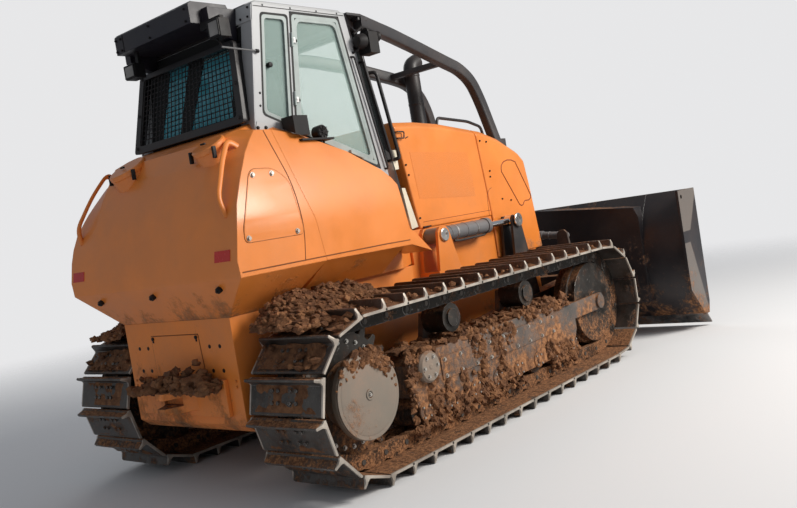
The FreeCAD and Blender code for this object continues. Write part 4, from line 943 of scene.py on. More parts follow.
class DOZER_OT_tracks(bpy.types.Operator):
    """Build the track shoes, links, pins and the soil packed between the grousers"""
    bl_idname = "dozer.tracks"
    bl_label = "Tracks"

    def execute(self, context):
        joints = track_joints()
        for sign, side in SIDES:
            self.shoes(joints, sign, side)
            self.links(joints, sign, side)
            self.soil(joints, sign, side)
        return {"FINISHED"}

    def frame_at(self, joints, i):
        a, b = joints[i], joints[(i + 1) % len(joints)]
        p = Vector((AXLE_X + a[0], 0, a[1]))
        q = Vector((AXLE_X + b[0], 0, b[1]))
        along = (q - p).normalized()
        out = Vector((-along.z, 0, along.x))
        return p, along, out

    def shoes(self, joints, sign, side):
        pitch = link_pitch()
        track = bpy.context.scene.dozer_track
        middle = sign * track.gauge_half
        half = track.shoe_width / 2
        build = Build()
        rng = random.Random(11 + sign)
        for i in range(len(joints)):
            p, along, out = self.frame_at(joints, i)
            tip = GROUSER - rng.uniform(0.0, 0.003)
            rings = []
            for y, grow in ((-half, 0.45), (-half + 0.012, 0.93), (-half + 0.03, 1.0), (half - 0.03, 1.0),
                            (half - 0.012, 0.93), (half, 0.45)):
                peak = SHOE_OUT + (tip - SHOE_OUT) * grow
                outline = ((-0.018, SHOE_IN + 0.002), (pitch - 0.004, SHOE_IN + 0.001),
                           (pitch - 0.003, 0.070),
                           (pitch - 0.011, 0.080), (pitch - 0.0145, peak - 0.004), (pitch - 0.018, peak),
                           (pitch - 0.028, peak), (pitch - 0.032, peak - 0.004), (pitch - 0.040, 0.082),
                           (pitch - 0.050, SHOE_OUT), (-0.010, SHOE_OUT), (-0.018, SHOE_OUT - 0.005))
                rings.append([p + along * a + out * o + Vector((0, middle + y, 0)) for a, o in outline])
            faces = build.loft(rings)
            count = len(rings[0])
            build.paint(faces[:count] + faces[-2 - count:], 1)
            for a in (0.055, 0.125):
                for y in (-0.1, -0.05, 0.05, 0.1):
                    spot = p + along * a + out * SHOE_OUT + Vector((0, middle + y, 0))
                    build.bolt(spot, out, 0.026, 0, washer=False)
        piece = build.done("track_shoes_" + side, ["track steel", "worn shoe end"])
        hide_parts("track_" + side)

    def links(self, joints, sign, side):
        pitch = link_pitch()
        middle = sign * bpy.context.scene.dozer_track.gauge_half
        build = Build()
        for i in range(len(joints)):
            p, along, out = self.frame_at(joints, i)
            outline = []
            aside = 0.0015 * (i % 2)
            for t in range(8):
                a = math.radians(90 + 180 * t / 7)
                outline.append((0.040 * math.cos(a), 0.040 * math.sin(a)))
            outline += [(0.03, -LINK_DROP + 0.001), (pitch - 0.03, -LINK_DROP + 0.001)]
            for t in range(8):
                a = math.radians(-90 + 180 * t / 7)
                outline.append((pitch + 0.040 * math.cos(a), 0.040 * math.sin(a)))
            outline += [(pitch - 0.05, SHOE_IN), (0.05, SHOE_IN)]
            for near, far in ((0.046, 0.072), (0.076, 0.103)):
                for wall in (-1, 1):
                    y0, y1 = sorted((wall * near, wall * (far - aside)))
                    push = Vector((0, y1 - y0, 0))
                    base = p + Vector((0, middle + y0, 0))
                    build.prism([base + along * a + out * o for a, o in outline], push)
            pin = Vector((0, 0.045, 0))
            spot = p + Vector((0, middle, 0))
            build.cylinder(spot - pin, spot + pin, 0.031, 14)
            cap = Vector((0, 0.108, 0))
            build.cylinder(spot - cap, spot + cap, 0.017, 12, 1)
        build.done("track_links_" + side, ["link steel with painted shade", "pin head"], smooth=35.0)

    def soil(self, joints, sign, side):
        pitch = link_pitch()
        track = bpy.context.scene.dozer_track
        middle = sign * track.gauge_half
        half = track.shoe_width / 2 - 0.02
        build = Build()
        rng = random.Random(5 + sign)
        for i in range(len(joints)):
            p, along, out = self.frame_at(joints, i)
            on_top = max(0.0, out.z)
            fill = 0.25 + 0.75 * on_top
            if out.z < -0.5:
                fill = 0.35
            columns, rows = 26, 8
            grid = []
            for k in range(rows + 1):
                a = 0.002 + (pitch - 0.044) * k / rows
                line = []
                for j in range(columns + 1):
                    y = -half + 2 * half * j / columns
                    spot = p + along * a + Vector((0, middle + y, 0))
                    lump = 0.5 + 0.7 * noise.noise(spot * 9.0) + 0.35 * noise.noise(spot * 27.0)
                    ridge = 1.0 - 0.55 * math.sin(math.pi * k / rows)
                    edge = min(1.0, 6.0 * (0.5 - abs(j / columns - 0.5)))
                    rise = track.soil_depth * fill * ridge * edge * max(0.0, lump) - 0.006 * (1 - fill)
                    line.append(spot + out * (SHOE_OUT - 0.002 + rise))
                grid.append(line)
            build.loft(grid, closed=False)
            if on_top > 0.6:
                for _ in range(26):
                    a = rng.uniform(0.0, pitch - 0.04)
                    y = middle + rng.uniform(-half, half)
                    size = 0.007 + 0.024 * rng.random() ** 2.2
                    spot = p + along * a + out * (SHOE_OUT + 0.022) + Vector((0, y, 0))
                    build.clod(spot, size, rng.uniform(0, 90))
        build.done("track_soil_" + side, SOILS, smooth=32.0)


class DOZER_OT_undercarriage(bpy.types.Operator):
    """Add hub covers, bolt rings, roller caps and frame guards"""
    bl_idname = "dozer.undercarriage"
    bl_label = "Undercarriage"

    def execute(self, context):
        y = 1.165
        for sign, side in SIDES:
            build = Build()
            centre = at(0, sign * y, SPROCKET_Z)
            axis = (0, sign, 0)
            build.lathe(centre, axis, [(-0.044, 0.268), (-0.012, 0.268), (-0.012, 0.246), (0.000, 0.240),
                                       (0.004, 0.224), (0.002, 0.120), (0.004, 0.030), (0.004, 0.0)], 64)
            for spot in around(centre, 0.257, 30, -sign * 0.012):
                build.bolt(spot, axis, 0.017, washer=False)
            build.lathe(centre, axis, [(0.000, 0.034), (0.009, 0.032), (0.009, 0.020), (0.004, 0.018),
                                       (0.004, 0.0)], 28)
            build.bolt(centre + Vector((0, sign * 0.003, 0)), axis, 0.022, 1)
            build.done("hub_cover_" + side, ["hub paint", "bolt zinc"])
            build = Build()
            ring = at(0, sign * (TRACK_Y + 0.035), SPROCKET_Z)
            for spot in around(ring, 0.315, SPROCKET_TEETH, start=0.5):
                build.bolt(spot, axis, 0.022)
            build.done("sprocket_bolts_" + side, "bolt zinc")
            build = Build()
            outer = sign * FRAME_SIDE
            for k in range(8):
                x = 0.555 + k * (2.65 - 0.46 - 0.19) / 7
                build.lathe(at(x, outer - sign * 0.004, ROLLER_Z), axis,
                            [(0.0, 0.062), (0.010, 0.062), (0.014, 0.056), (0.014, 0.030), (0.020, 0.026),
                             (0.020, 0.0)], 24)
                for t in (0.8, 2.35, 3.95, 5.5):
                    spot = at(x + 0.046 * math.cos(t), outer + sign * 0.010, ROLLER_Z + 0.046 * math.sin(t))
                    build.bolt(spot, axis, 0.016, 1, washer=False)
            y0, y1 = sorted((outer, outer + sign * 0.008))
            build.box(at(0.78, y0, 0.43), at(2.30, y1, 0.58), 0, 0.004)
            for k in range(9):
                for z in (0.45, 0.56):
                    build.bolt(at(0.82 + k * 0.18, outer + sign * 0.008, z), axis, 0.022, 1)
            build.done("frame_fittings_" + side, ["track frame paint", "bolt zinc"])
            build = Build()
            cap = at(0.62, sign * 1.150, 0.560)
            build.lathe(cap, axis, [(-0.045, 0.102), (-0.016, 0.104), (-0.006, 0.096), (0.002, 0.090),
                                    (0.002, 0.020), (0.006, 0.014), (0.006, 0.0)], 40)
            for spot in around(cap, 0.068, 6, sign * 0.001):
                build.bolt(spot, axis, 0.022, 1)
            build.done("pivot_cap_" + side, ["hub paint", "bolt zinc"])
            self.clods(sign, side)
        return {"FINISHED"}

    def clods(self, sign, side):
        """Soil lying on the track frame, clinging to its side and to the hub."""
        build = Build()
        rng = random.Random(31 + sign)
        for _ in range(420):
            x = rng.uniform(0.5, 2.55)
            y = sign * (TRACK_Y + rng.uniform(-0.15, 0.15))
            size = 0.010 + 0.038 * rng.random() ** 1.6
            build.clod(at(x, y, 0.645 + rng.random() * 0.035), size, rng.uniform(0, 99))
        for _ in range(2600):
            x, z = rng.uniform(0.42, 2.62), rng.uniform(0.16, 0.70)
            patch = noise.noise(Vector((x * 1.9, sign * 3.1, z * 3.2)))
            patch += 0.35 * noise.noise(Vector((x * 7, 5.0, z * 7)))
            if patch + 0.9 * abs(z - 0.42) < 0.12 + 0.15 * rng.random():
                continue
            size = 0.008 + 0.026 * rng.random() ** 2.0
            build.clod(at(x, sign * (FRAME_SIDE + rng.uniform(-0.004, 0.012)), z), size, rng.uniform(0, 99),
                       flatten=1.0)
        build.done("frame_soil_" + side, SOILS, smooth=25.0)
        build = Build()
        for _ in range(260):
            t = rng.gauss(1.35, 0.55)
            r = rng.uniform(0.17, 0.275)
            size = 0.007 + 0.022 * rng.random() ** 2.0
            spot = at(math.cos(t) * r, sign * 1.163, SPROCKET_Z + math.sin(t) * r)
            build.clod(spot, size, rng.uniform(0, 99), flatten=1.0)
        build.done("hub_soil_" + side, SOILS, smooth=25.0)
        build = Build()

        def lie(x, y):
            across = max(0.0, 1.0 - max(0.0, y - 0.76) / 0.32)
            along = max(0.0, 1.0 - abs((x - 0.12) / 0.54) ** 4)
            lump = 0.030 * noise.noise(Vector((x * 9, y * 9, sign * 3.0)))
            return 1.015 + (0.165 * across + lump) * along

        rows = []
        for i in range(49):
            x = -0.42 + 1.08 * i / 48
            rows.append([at(x, sign * y, lie(x, y)) for y in (0.69 + 0.40 * j / 20 for j in range(21))])
        build.loft(rows, closed=False)
        for _ in range(1500):
            x, y = rng.uniform(-0.41, 0.65), rng.uniform(0.69, 1.12)
            size = 0.008 + 0.026 * rng.random() ** 2.0
            z = lie(x, min(y, 1.09)) + size * rng.uniform(-0.3, 0.5)
            build.clod(at(x, sign * y, z), size, rng.uniform(0, 99))
        build.done("fender_soil_" + side, SOILS, smooth=25.0)


class DOZER_OT_bodywork(bpy.types.Operator):
    """Round the edges of the tank, fenders, hood, chassis and guards and add seams, bolts and lids"""
    bl_idname = "dozer.bodywork"
    bl_label = "Bodywork"

    def execute(self, context):
        for node, finish, width in (
                ("fuel_tank", "orange paint", 0.035), ("fenders", "orange paint", 0.035),
                ("hood", "orange paint", 0.014), ("radiator_guard", "orange paint", 0.014),
                ("main_frame", "orange chassis", 0.010), ("front_frame", "orange chassis", 0.006),
                ("drawbar", "orange chassis", 0.008), ("roof_box", "roof box paint", 0.010),
                ("cab_roof", "cab grey paint", 0.012), ("grille", "guard black paint", 0.003)):
            soft_copy(node, finish, width,
                      reshape=lean_in if node in ("fuel_tank", "fenders") else None)
        self.tank()
        self.sweeps()
        self.caps()
        self.handles()
        self.rear_plate()
        self.hood()
        self.roof_box()
        self.exhaust()
        return {"FINISHED"}

    def tank(self):
        """Panel, bolts, seams and reflectors of the tank and fenders."""
        build = Build()
        side = TANK_SIDE
        seam = [(-0.240, 2.16), (-0.197, 2.073), (-0.094, 1.867), (-0.056, 1.708), (-0.045, 1.556),
                (-0.076, 1.381)]
        build.tube([at(x, -side, z) for x, z in seam], 0.0032, 0.25, 6, 1)
        crease = [(-0.56, 1.379), (0.10, 1.379), (0.66, 1.379), (0.92, 1.375)]
        build.tube([at(x, -side, z) for x, z in crease], 0.004, 0.0, 6, 1)
        panel = [(-0.395, 1.945), (-0.215, 1.94), (-0.105, 1.86), (-0.055, 1.62), (-0.052, 1.535),
                 (-0.51, 1.535),
                 (-0.50, 1.62)]
        outline = round_outline([at(x, -side, z) for x, z in panel], 0.05)
        build.prism(outline, (0, -0.003, 0), 0)
        build.tube(outline + [outline[0]], 0.0028, 0.0, 6, 1)
        for x, z in ((-0.377, 1.91), (-0.233, 1.91), (-0.478, 1.559), (-0.105, 1.557)):
            build.bolt(at(x, -side - 0.002, z), (0, -1, 0), 0.024, 2)
        build.flip()
        lean_in(build.bm)
        build.done("tank_side_trim", ["orange paint", "orange seam", "bolt zinc"])
        build = Build()
        for y0, y1 in ((-0.84, -0.70), (0.73, 0.87)):
            low, high = 1.452, 1.515
            x0 = -0.584 + 0.064 * (low - 1.447) / 0.313
            x1 = -0.584 + 0.064 * (high - 1.447) / 0.313
            build.loft([[at(x0 - 0.003, y0, low), at(x0 - 0.003, y1, low), at(x0 + 0.002, y1, low),
                         at(x0 + 0.002, y0, low)],
                        [at(x1 - 0.003, y0, high), at(x1 - 0.003, y1, high), at(x1 + 0.002, y1, high),
                         at(x1 + 0.002, y0, high)]])
        build.done("rear_reflectors", "red reflector")
        build = Build()
        for y, z in ((0.616, 1.297), (0.006, 1.299), (-0.663, 1.302)):
            x = -0.577 + 0.133 * (1.352 - z) / 0.234
            build.cylinder(at(x + 0.004, y, z), at(x - 0.022, y, z - 0.012), 0.019, 16, 0, 0.003)
            build.cylinder(at(x - 0.018, y, z - 0.010), at(x - 0.030, y, z - 0.016), 0.009, 10, 0)
        build.done("tank_latches", "dark plastic")

    def sweeps(self):
        """Two bent box-section bars from the cab roof to the guard, their cross bar and the roof visors."""
        build = Build()
        path = [(1.150, 0.545, 2.985), (1.610, 0.440, 2.952), (2.050, 0.362, 2.885), (2.520, 0.306, 2.790),
                (2.680, 0.300, 2.752), (2.850, 0.300, 2.650), (2.950, 0.303, 2.470), (3.060, 0.335, 2.075)]
        path = round_path([Vector(p) for p in path], 0.12, 6)
        rings = []
        for i, spot in enumerate(path):
            ahead = (path[min(i + 1, len(path) - 1)] - path[max(i - 1, 0)]).normalized()
            up = Vector((-ahead.z, 0, ahead.x)).normalized()
            ring = []
            for a, b in ((-1, -1), (1, -1), (1, 1), (-1, 1)):
                for t in range(4):
                    turn = math.atan2(b, a) - math.pi / 4 + t * math.pi / 6
                    y = a * 0.026 + 0.016 * math.cos(turn)
                    ring.append(at(*spot) + Vector((0, y, 0)) + up * (b * 0.032 + 0.016 * math.sin(turn)))
            rings.append(ring)
        build.loft(rings)
        build.box(at(2.955, 0.280, 2.000), at(3.150, 0.390, 2.100), 0, 0.008)
        build.box(at(1.130, 0.510, 2.990), at(1.230, 0.575, 3.0135), 0, 0.004)
        visor = [(1.000, 0.02), (1.000, 0.590), (1.140, 0.590), (1.480, 0.470), (1.480, 0.430),
                 (1.330, 0.430),
                 (1.330, 0.02)]
        build.prism([at(x, y, 3.013) for x, y in visor], (0, 0, 0.017), 0)
        build.flip()
        build.box(at(2.447, -0.300, 2.775), at(2.507, 0.300, 2.825), 0, 0.008)
        build.box(at(1.002, -0.025, 3.0132), at(1.329, 0.025, 3.0298), 0)
        piece = build.done("sweep_bars", "sweep paint", smooth=35.0)
        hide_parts("sweeps")

    def caps(self):
        """Round lids of the fillers with their levers."""
        build = Build()
        axis = Vector((-0.5, 0, 0.866))
        for y, r in ((0.330, 0.130), (-0.540, 0.105)):
            top = at(-0.370, y, 2.150)
            build.lathe(top, axis, [(-0.14, r), (-0.035, r), (-0.032, r + 0.004), (-0.008, r + 0.004),
                                    (0.0, r - 0.006),
                                    (0.002, 0.0)], 40)
            for side in (-1, 1):
                spot = top + Vector((-0.045, side * -(r + 0.006), -0.065))
                build.pad(spot, (0.012, 0.008, 0.035), 1, 0.004)
            build.tube([top + Vector((-0.03, -side * 0.02, 0.0)) for side in (-1, 1)], 0.006, 0.0, 8, 1)
        piece = build.done("filler_lids", ["orange paint", "dark plastic"], smooth=35.0)
        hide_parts("filler_caps")

    def handles(self):
        """Bent tube rails on the tank, the hood and beside the cab's front corners."""
        build = Build()
        for sign in (-1, 1):
            y = sign * 0.80
            path = [at(-0.360, y, 2.090), at(-0.430, y, 2.128), at(-0.490, y, 2.010), at(-0.562, y, 1.805),
                    at(-0.525, y, 1.700)]
            build.tube(path, 0.0155, 0.045, 14)
        lean_in(build.bm)
        for sign in (-1, 1):
            y = sign * 0.40
            build.tube([at(2.11, y, 2.235), at(2.13, y, 2.300), at(2.56, y, 2.262), at(2.75, y, 2.212),
                        at(2.77, y, 2.135)], 0.0125, 0.04, 12)
            lean = front_corner(1.980) - front_corner(2.640)
            build.tube([at(1.405 - lean, sign * 0.405, 2.640), at(1.457 - lean, sign * 0.488, 2.640),
                        at(1.457, sign * 0.488, 1.980), at(1.405, sign * 0.405, 1.980)], 0.0145, 0.03, 12)
        piece = build.done("grab_rails_bent", "rail paint", smooth=40.0)
        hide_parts("grab_rails")

    def rear_plate(self):
        """Bolts, cover seams and latch holes of the rear chassis plate, and soil on the hitch, whose darker
        mass in the drawbar's slot is also painted shade.
        """
        build = Build()
        face = -0.444
        for y in (-0.43, -0.33, 0.33, 0.43):
            for z in (0.80, 0.95):
                build.cylinder(at(face + 0.010, y, z), at(face - 0.0015, y, z), 0.0125, 16, 0)
        for y in (0.25, -0.215):
            build.cylinder(at(face + 0.004, y, 1.012), at(face - 0.012, y, 1.012), 0.012, 12, 0, 0.002)
            build.box(at(face - 0.008, y - 0.006, 0.985), at(face + 0.002, y + 0.006, 1.012), 0, 0.002)
        build.done("rear_plate_bolts", "dark plastic")
        build = Build()
        cover = [(-0.235, 1.03), (0.27, 1.03), (0.27, 0.765), (-0.25, 0.765)]
        outline = [at(face, y, z) for y, z in cover]
        build.tube(outline + [outline[0]], 0.003, 0.0, 6, 1)
        build.prism(shrink(outline, (1, 0, 0), 0.003), (-0.004, 0, 0), 0)
        for y in (-0.53, 0.53):
            for z in (0.70, 0.735):
                build.bolt(at(face, y, z), (-1, 0, 0), 0.014, 0)
        build.done("rear_cover", ["orange chassis", "orange seam"])
        build = Build()
        rng = random.Random(17)
        # dark packed soil massed in the drawbar's slot: soil, and painted shade of the slot
        for _ in range(240):
            y = rng.gauss(-0.20, 0.15) if rng.random() < 0.75 else rng.gauss(0.24, 0.09)
            z = 0.70 + abs(rng.gauss(0, 0.06)) * max(0.0, 1 - abs(y + 0.2) * 2.0)
            x = rng.uniform(-0.61, -0.47)
            build.clod(at(x, max(-0.42, min(0.40, y)), z), rng.uniform(0.012, 0.045), rng.uniform(0, 99), 0,
                       2)
        for _ in range(60):
            y = rng.uniform(-0.44, 0.42)
            build.clod(at(-0.47 - rng.uniform(0, 0.02), y, rng.uniform(0.735, 0.76)),
                       rng.uniform(0.01, 0.026),
                       rng.uniform(0, 99))
        build.done("hitch_soil", SOILS, smooth=60.0)

    def hood(self):
        """Perforated panel, seams, bolts, slot outline and seals of the hood."""
        side = HOOD_SIDE
        build = Build()
        patch = [(1.632, 2.027), (2.412, 1.992), (2.436, 1.613), (1.667, 1.655)]
        build.prism([at(x, -side, z) for x, z in patch], (0, -0.0015, 0), 0)
        build.flip()
        build.done("hood_perforated_panels", "perforated sheet")
        build = Build()
        slot = [(2.900, 1.815), (2.912, 1.850), (2.955, 1.878), (3.022, 1.893), (3.090, 1.889),
                (3.150, 1.870),
                (3.336, 1.545), (3.330, 1.518), (3.291, 1.502), (3.230, 1.503), (3.200, 1.490), (3.180,
                                                                                                 1.468),
                (3.150, 1.462), (3.120, 1.475), (2.902, 1.790)]
        slot = [at(x, -side, z) for x, z in slot]
        build.tube(slot + [slot[0]], 0.0052, 0.0, 6, 1)
        door = [(2.60, 1.42), (2.61, 1.60), (2.66, 1.655), (2.70, 1.662)]
        build.tube([at(x, -side, z) for x, z in door], 0.0022, 0.05, 6, 1)
        build.tube([at(1.665, -side, 1.47), at(2.635, -side, 1.47)], 0.002, 0.0, 6, 1)
        for x, z in ((2.625, 2.081), (2.723, 2.069), (2.709, 1.811), (2.704, 1.760), (2.842, 1.551),
                     (2.982, 1.528),
                     (1.560, 1.930), (1.575, 1.850), (1.630, 1.505)):
            build.bolt(at(x, -side, z), (0, -1, 0), 0.017, 2, washer=False)
        hook = [at(1.500, -side + 0.03, 2.188), at(1.500, -side - 0.020, 2.188),
                at(1.580, -side - 0.020, 2.186),
                at(1.570, -side - 0.020, 2.136), at(1.500, -side - 0.020, 2.138), at(1.500, -side + 0.01,
                                                                                     2.138)]
        build.tube(hook, 0.0055, 0.014, 8, 3)
        build.tube([at(1.607, -side - 0.004, 2.137), at(1.640, -side - 0.004, 2.148)], 0.004, 0.0, 6, 3)
        build.box(at(1.652, -side - 0.012, 1.424), at(1.750, -side + 0.002, 1.436), 3, 0.004)
        build.flip()
        build.done("hood_trim", ["orange paint", "red seam", "dark plastic", "guard black paint"])
        build = Build()
        for finish, strip in ((0, ((1.416, 2.053), (1.473, 2.050), (1.474, 1.903), (1.423, 1.898))),
                              (0, ((1.469, 1.756), (1.510, 1.753), (1.597, 1.440), (1.515, 1.430))),
                              (1, ((1.345, 2.060), (1.405, 2.020), (1.460, 1.759), (1.395, 1.730)))):
            build.prism([at(x, 0.001 - HOOD_SIDE, z) for x, z in strip], (0, 0.03, 0), finish)
        build.flip()
        build.done("hood_rear_seal", ["cream strip", "guard black paint"])

    def roof_box(self):
        """Seams and screws on the box behind the roof."""
        build = Build()
        x, z0, z1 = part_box("roof_box")[0].x, 2.915, 3.028
        build.box((x - 0.002, 0.318, z0), (x + 0.004, 0.324, z1), 0)
        for y in (0.40, 0.345, 0.02, -0.37):
            for z in (z0 + 0.018, z1 - 0.02):
                build.bolt((x, y, z), (-1, 0, 0), 0.016, 1, washer=False)
        build.done("roof_box_seams", ["black seam and outlet shade", "dark plastic"])
        build = Build()
        for sign in (-1, 1):
            plate = [(0.470, 2.900), (0.616, 2.900), (0.616, 3.000), (0.590, 3.008), (0.470, 3.008)]
            build.prism([at(rear_wall(z, -0.062), sign * y, z) for y, z in plate], (0.005, 0, 0))
            for y, z in ((0.590, 2.925), (0.590, 2.985), (0.52, 2.925)):
                build.bolt(at(rear_wall(z, -0.062), sign * y, z), (-1, 0, 0), 0.016, 1, washer=False)
        build.done("roof_brackets", ["cab grey paint", "dark plastic"])

    def exhaust(self):
        """Exhaust stack with clamp bands and a forward-bent outlet, closed by a near-black disc as painted
        shade of the pipe's inside.
        """
        build = Build()
        low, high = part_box("exhaust_stack")
        x, y = low.x + 0.076, 0.5 * (low.y + high.y)
        bend = [Vector((x, y, 2.150)), Vector((x, y, 2.885)), Vector((x + 0.092, y, 2.925))]
        build.tube(bend, 0.070, 0.055, 40)
        end = (bend[2] - bend[1]).normalized()
        build.lathe(bend[2] - end * 0.004, end,
                    [(0.0, 0.070), (0.006, 0.070), (0.006, 0.064), (-0.002, 0.062)], 40,
                    0, False)
        # near-black disc in the outlet: painted shade of the pipe's inside
        build.lathe(bend[2] + end * 0.001, end, [(0.0, 0.063), (0.0005, 0.0)], 40, 1)
        for z in (2.20, 2.52, 2.78):
            build.band((x, y, z), (0, 0, 1), 0.0, 0.024, 0.069, 0.0725, 0.004)
        piece = build.done("exhaust_pipe", ["guard black paint", "black seam and outlet shade"], smooth=35.0)
        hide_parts("exhaust_stack")


class DOZER_OT_cab(bpy.types.Operator):
    """Add the cab's seals, hinges, rear screen, lamps, mirror, window stay and interior"""
    bl_idname = "dozer.cab"
    bl_label = "Cab"

    def execute(self, context):
        for node, finish, width in (
                ("cab_frame", "cab shell paint", 0.010), ("cab_door_left", "pane border", 0.005),
                ("cab_door_right", "pane border", 0.005), ("control_console", "dark plastic", 0.030),
                ("work_lamps", "dark plastic", 0.014)):
            soft_copy(node, finish, width)
        self.seat()
        self.seals()
        self.rear_screen()
        self.rear_post_trim()
        self.lamp_lenses()
        self.front_fittings()
        self.interior()
        return {"FINISHED"}

    def hinge(self, z):
        """Place of a door's leaning hinge line at a height, from the axle."""
        return 0.310 + 0.14925 * (z - 2.300)

    def sill(self, edge, shift):
        """Point where an upright edge of a side window meets the sloping sill."""
        z = 2.0
        for _ in range(40):
            z = 2.230 - 0.36 * (edge(z) - 0.170) + shift
        return edge(z), z

    def outline(self, rear, fore, low, top):
        """Corners of a side window between two leaning edges."""
        a, b = self.sill(rear, low), self.sill(fore, low)
        return [a, b, (fore(top), top), (rear(top), top)]

    def seat(self):
        """Padded seat."""
        piece = soft_copy("seat", "seat cloth", 0.045, 4)

    def seals(self):
        """Seals round the side windows and doors, hinge covers and window knobs."""
        half = CAB_SIDE
        quarter = self.outline(lambda z: rear_wall(z) + 0.074, lambda z: self.hinge(z) - 0.032, 0.036, 2.944)
        door = self.outline(self.hinge, lambda z: front_corner(z) - 0.070, 0.0, 2.975)
        build = Build()
        for sign in (-1, 1):
            for pts, r, inset, wide, deep, finish in (
                    (quarter, 0.03, -0.012, 0.014, 0.0015, 0), (quarter, 0.03, 0.002, 0.022, -0.006, 1),
                    (door, 0.03, -0.004, 0.016, 0.0005, 0)):
                flat = [at(x, sign * half, z) for x, z in pts]
                ring = shrink(flat, (0, 1, 0), inset)
                inner = shrink(ring, (0, 1, 0), wide)
                build.ring(round_outline(ring, r), round_outline(inner, r), (0, sign * deep, 0), finish)
        build.done("cab_seals", ["rubber seal", "pane border"])
        for sign, side in SIDES:
            build = Build()
            flat = [at(x, sign * (half - 0.001), z) for x, z in door]
            glass = shrink(flat, (0, 1, 0), 0.036)
            inner = shrink(flat, (0, 1, 0), 0.056)
            build.ring(round_outline(glass, 0.04), round_outline(inner, 0.05), (0, -sign * 0.012, 0))
            build.done("door_seal_" + side, "pane border", "door_" + side)
            build = Build()
            for z in (2.40, 2.79):
                x = self.hinge(z)
                build.box(at(x - 0.006, sign * (half + 0.010) - 0.006, z - 0.020),
                          at(x + 0.026, sign * (half + 0.010) + 0.006, z + 0.016), 0, 0.005)
                build.cylinder(at(x + 0.012, sign * half, z), at(x + 0.012, sign * (half + 0.020), z), 0.009,
                               14, 0,
                               0.002)
                build.cylinder(at(x + 0.034, sign * half, z - 0.006),
                               at(x + 0.034, sign * (half + 0.012), z - 0.006),
                               0.010, 14, 1, 0.002)
            build.done("door_hinge_covers_" + side, ["white clip", "dark plastic"],
                       "door_" + side)
        build = Build()
        for sign in (-1, 1):
            build.cylinder(at(0.16, sign * 0.596, 2.62), at(0.16, sign * (half + 0.012), 2.62), 0.017, 18, 0,
                           0.004)
        build.done("window_knobs", "dark plastic")

    def rear_screen(self):
        """Framed wire screen over the rear window with the tinted panes behind it; the panes' teal is partly
        a painted sky reflection.
        """
        low, high = 2.262, 2.798
        build = Build()

        def point(y, z, out):
            return at(rear_wall(z) - 0.001 - out, y, z)

        def half(z, at_low, at_high):
            return at_low + (at_high - at_low) * (z - low) / (high - low)

        outer = [point(sign * y, z, 0.045) for sign, y, z in
                 ((-1, 0.600, low), (1, 0.600, low), (1, 0.515, high), (-1, 0.515, high))]
        inner = [point(sign * y, z, 0.045) for sign, y, z in
                 ((-1, 0.535, low + 0.050), (1, 0.535, low + 0.050), (1, 0.470, high - 0.035),
                  (-1, 0.470, high - 0.035))]
        build.ring(round_outline(outer, 0.03), round_outline(inner, 0.025), (-0.029, 0, 0))
        front = shrink(outer, (1, 0, 0), 0.02)
        build.ring(front, shrink(outer, (1, 0, 0), 0.028), (0.044, 0, 0))
        wire, rows = 0.0034, 13
        for k in range(1, rows):
            z = low + 0.055 + (high - low - 0.10) * k / rows
            y = half(z, 0.545, 0.470)
            build.tube([point(-y, z, 0.054), point(y, z, 0.054)], wire, 0.0, 6)
        columns = 24
        for k in range(-columns // 2, columns // 2 + 1):
            y0, y1 = k * 1.070 / columns, k * 0.936 / columns
            build.tube([point(y0, low + 0.05, 0.060), point(y1, high - 0.04, 0.060)], wire, 0.0, 6)
        for y, z in ((-0.56, 2.30), (0.56, 2.30), (-0.485, 2.77), (0.485, 2.77), (-0.53, 2.52), (0.53, 2.52)):
            build.bolt(point(y, z, 0.074), (-1, 0, 0), 0.02)
        piece = build.done("rear_screen_mesh", "guard black paint")
        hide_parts("rear_screen")
        build = Build()
        panes = (((0.172, 2.325), (0.384, 2.33), (0.27, 2.81), (0.055, 2.81)),
                 ((-0.392, 2.336), (0.047, 2.336), (-0.103, 2.76), (-0.396, 2.76)))
        bands = (((-0.555, 2.285), (0.555, 2.285), (0.548, 2.332), (-0.548, 2.332)),
                 ((-0.505, 2.79), (0.505, 2.79), (0.50, 2.895), (-0.50, 2.895)),
                 ((0.384, 2.33), (0.548, 2.33), (0.50, 2.80), (0.275, 2.80)),
                 ((0.047, 2.33), (0.172, 2.33), (0.058, 2.80), (-0.108, 2.80)),
                 ((-0.548, 2.33), (-0.392, 2.33), (-0.396, 2.80), (-0.505, 2.80)))
        for band in bands:
            build.prism([point(y, z, -0.012) for y, z in band], (0.004, 0, 0))
        # painted shade: a black sheet behind the whole window stands for the shaded inside of the cab
        whole = ((-0.555, 2.285), (0.555, 2.285), (0.50, 2.895), (-0.50, 2.895))
        build.prism([point(y, z, -0.0235) for y, z in whole], (0.003, 0, 0))
        build.done("rear_window_bands_and_shade_sheet", "rubber seal")
        build = Build()
        for pane in panes:
            build.prism([point(y, z, -0.017) for y, z in pane], (0.003, 0, 0))
        build.done("rear_window_tint_and_reflection", "rear glass")

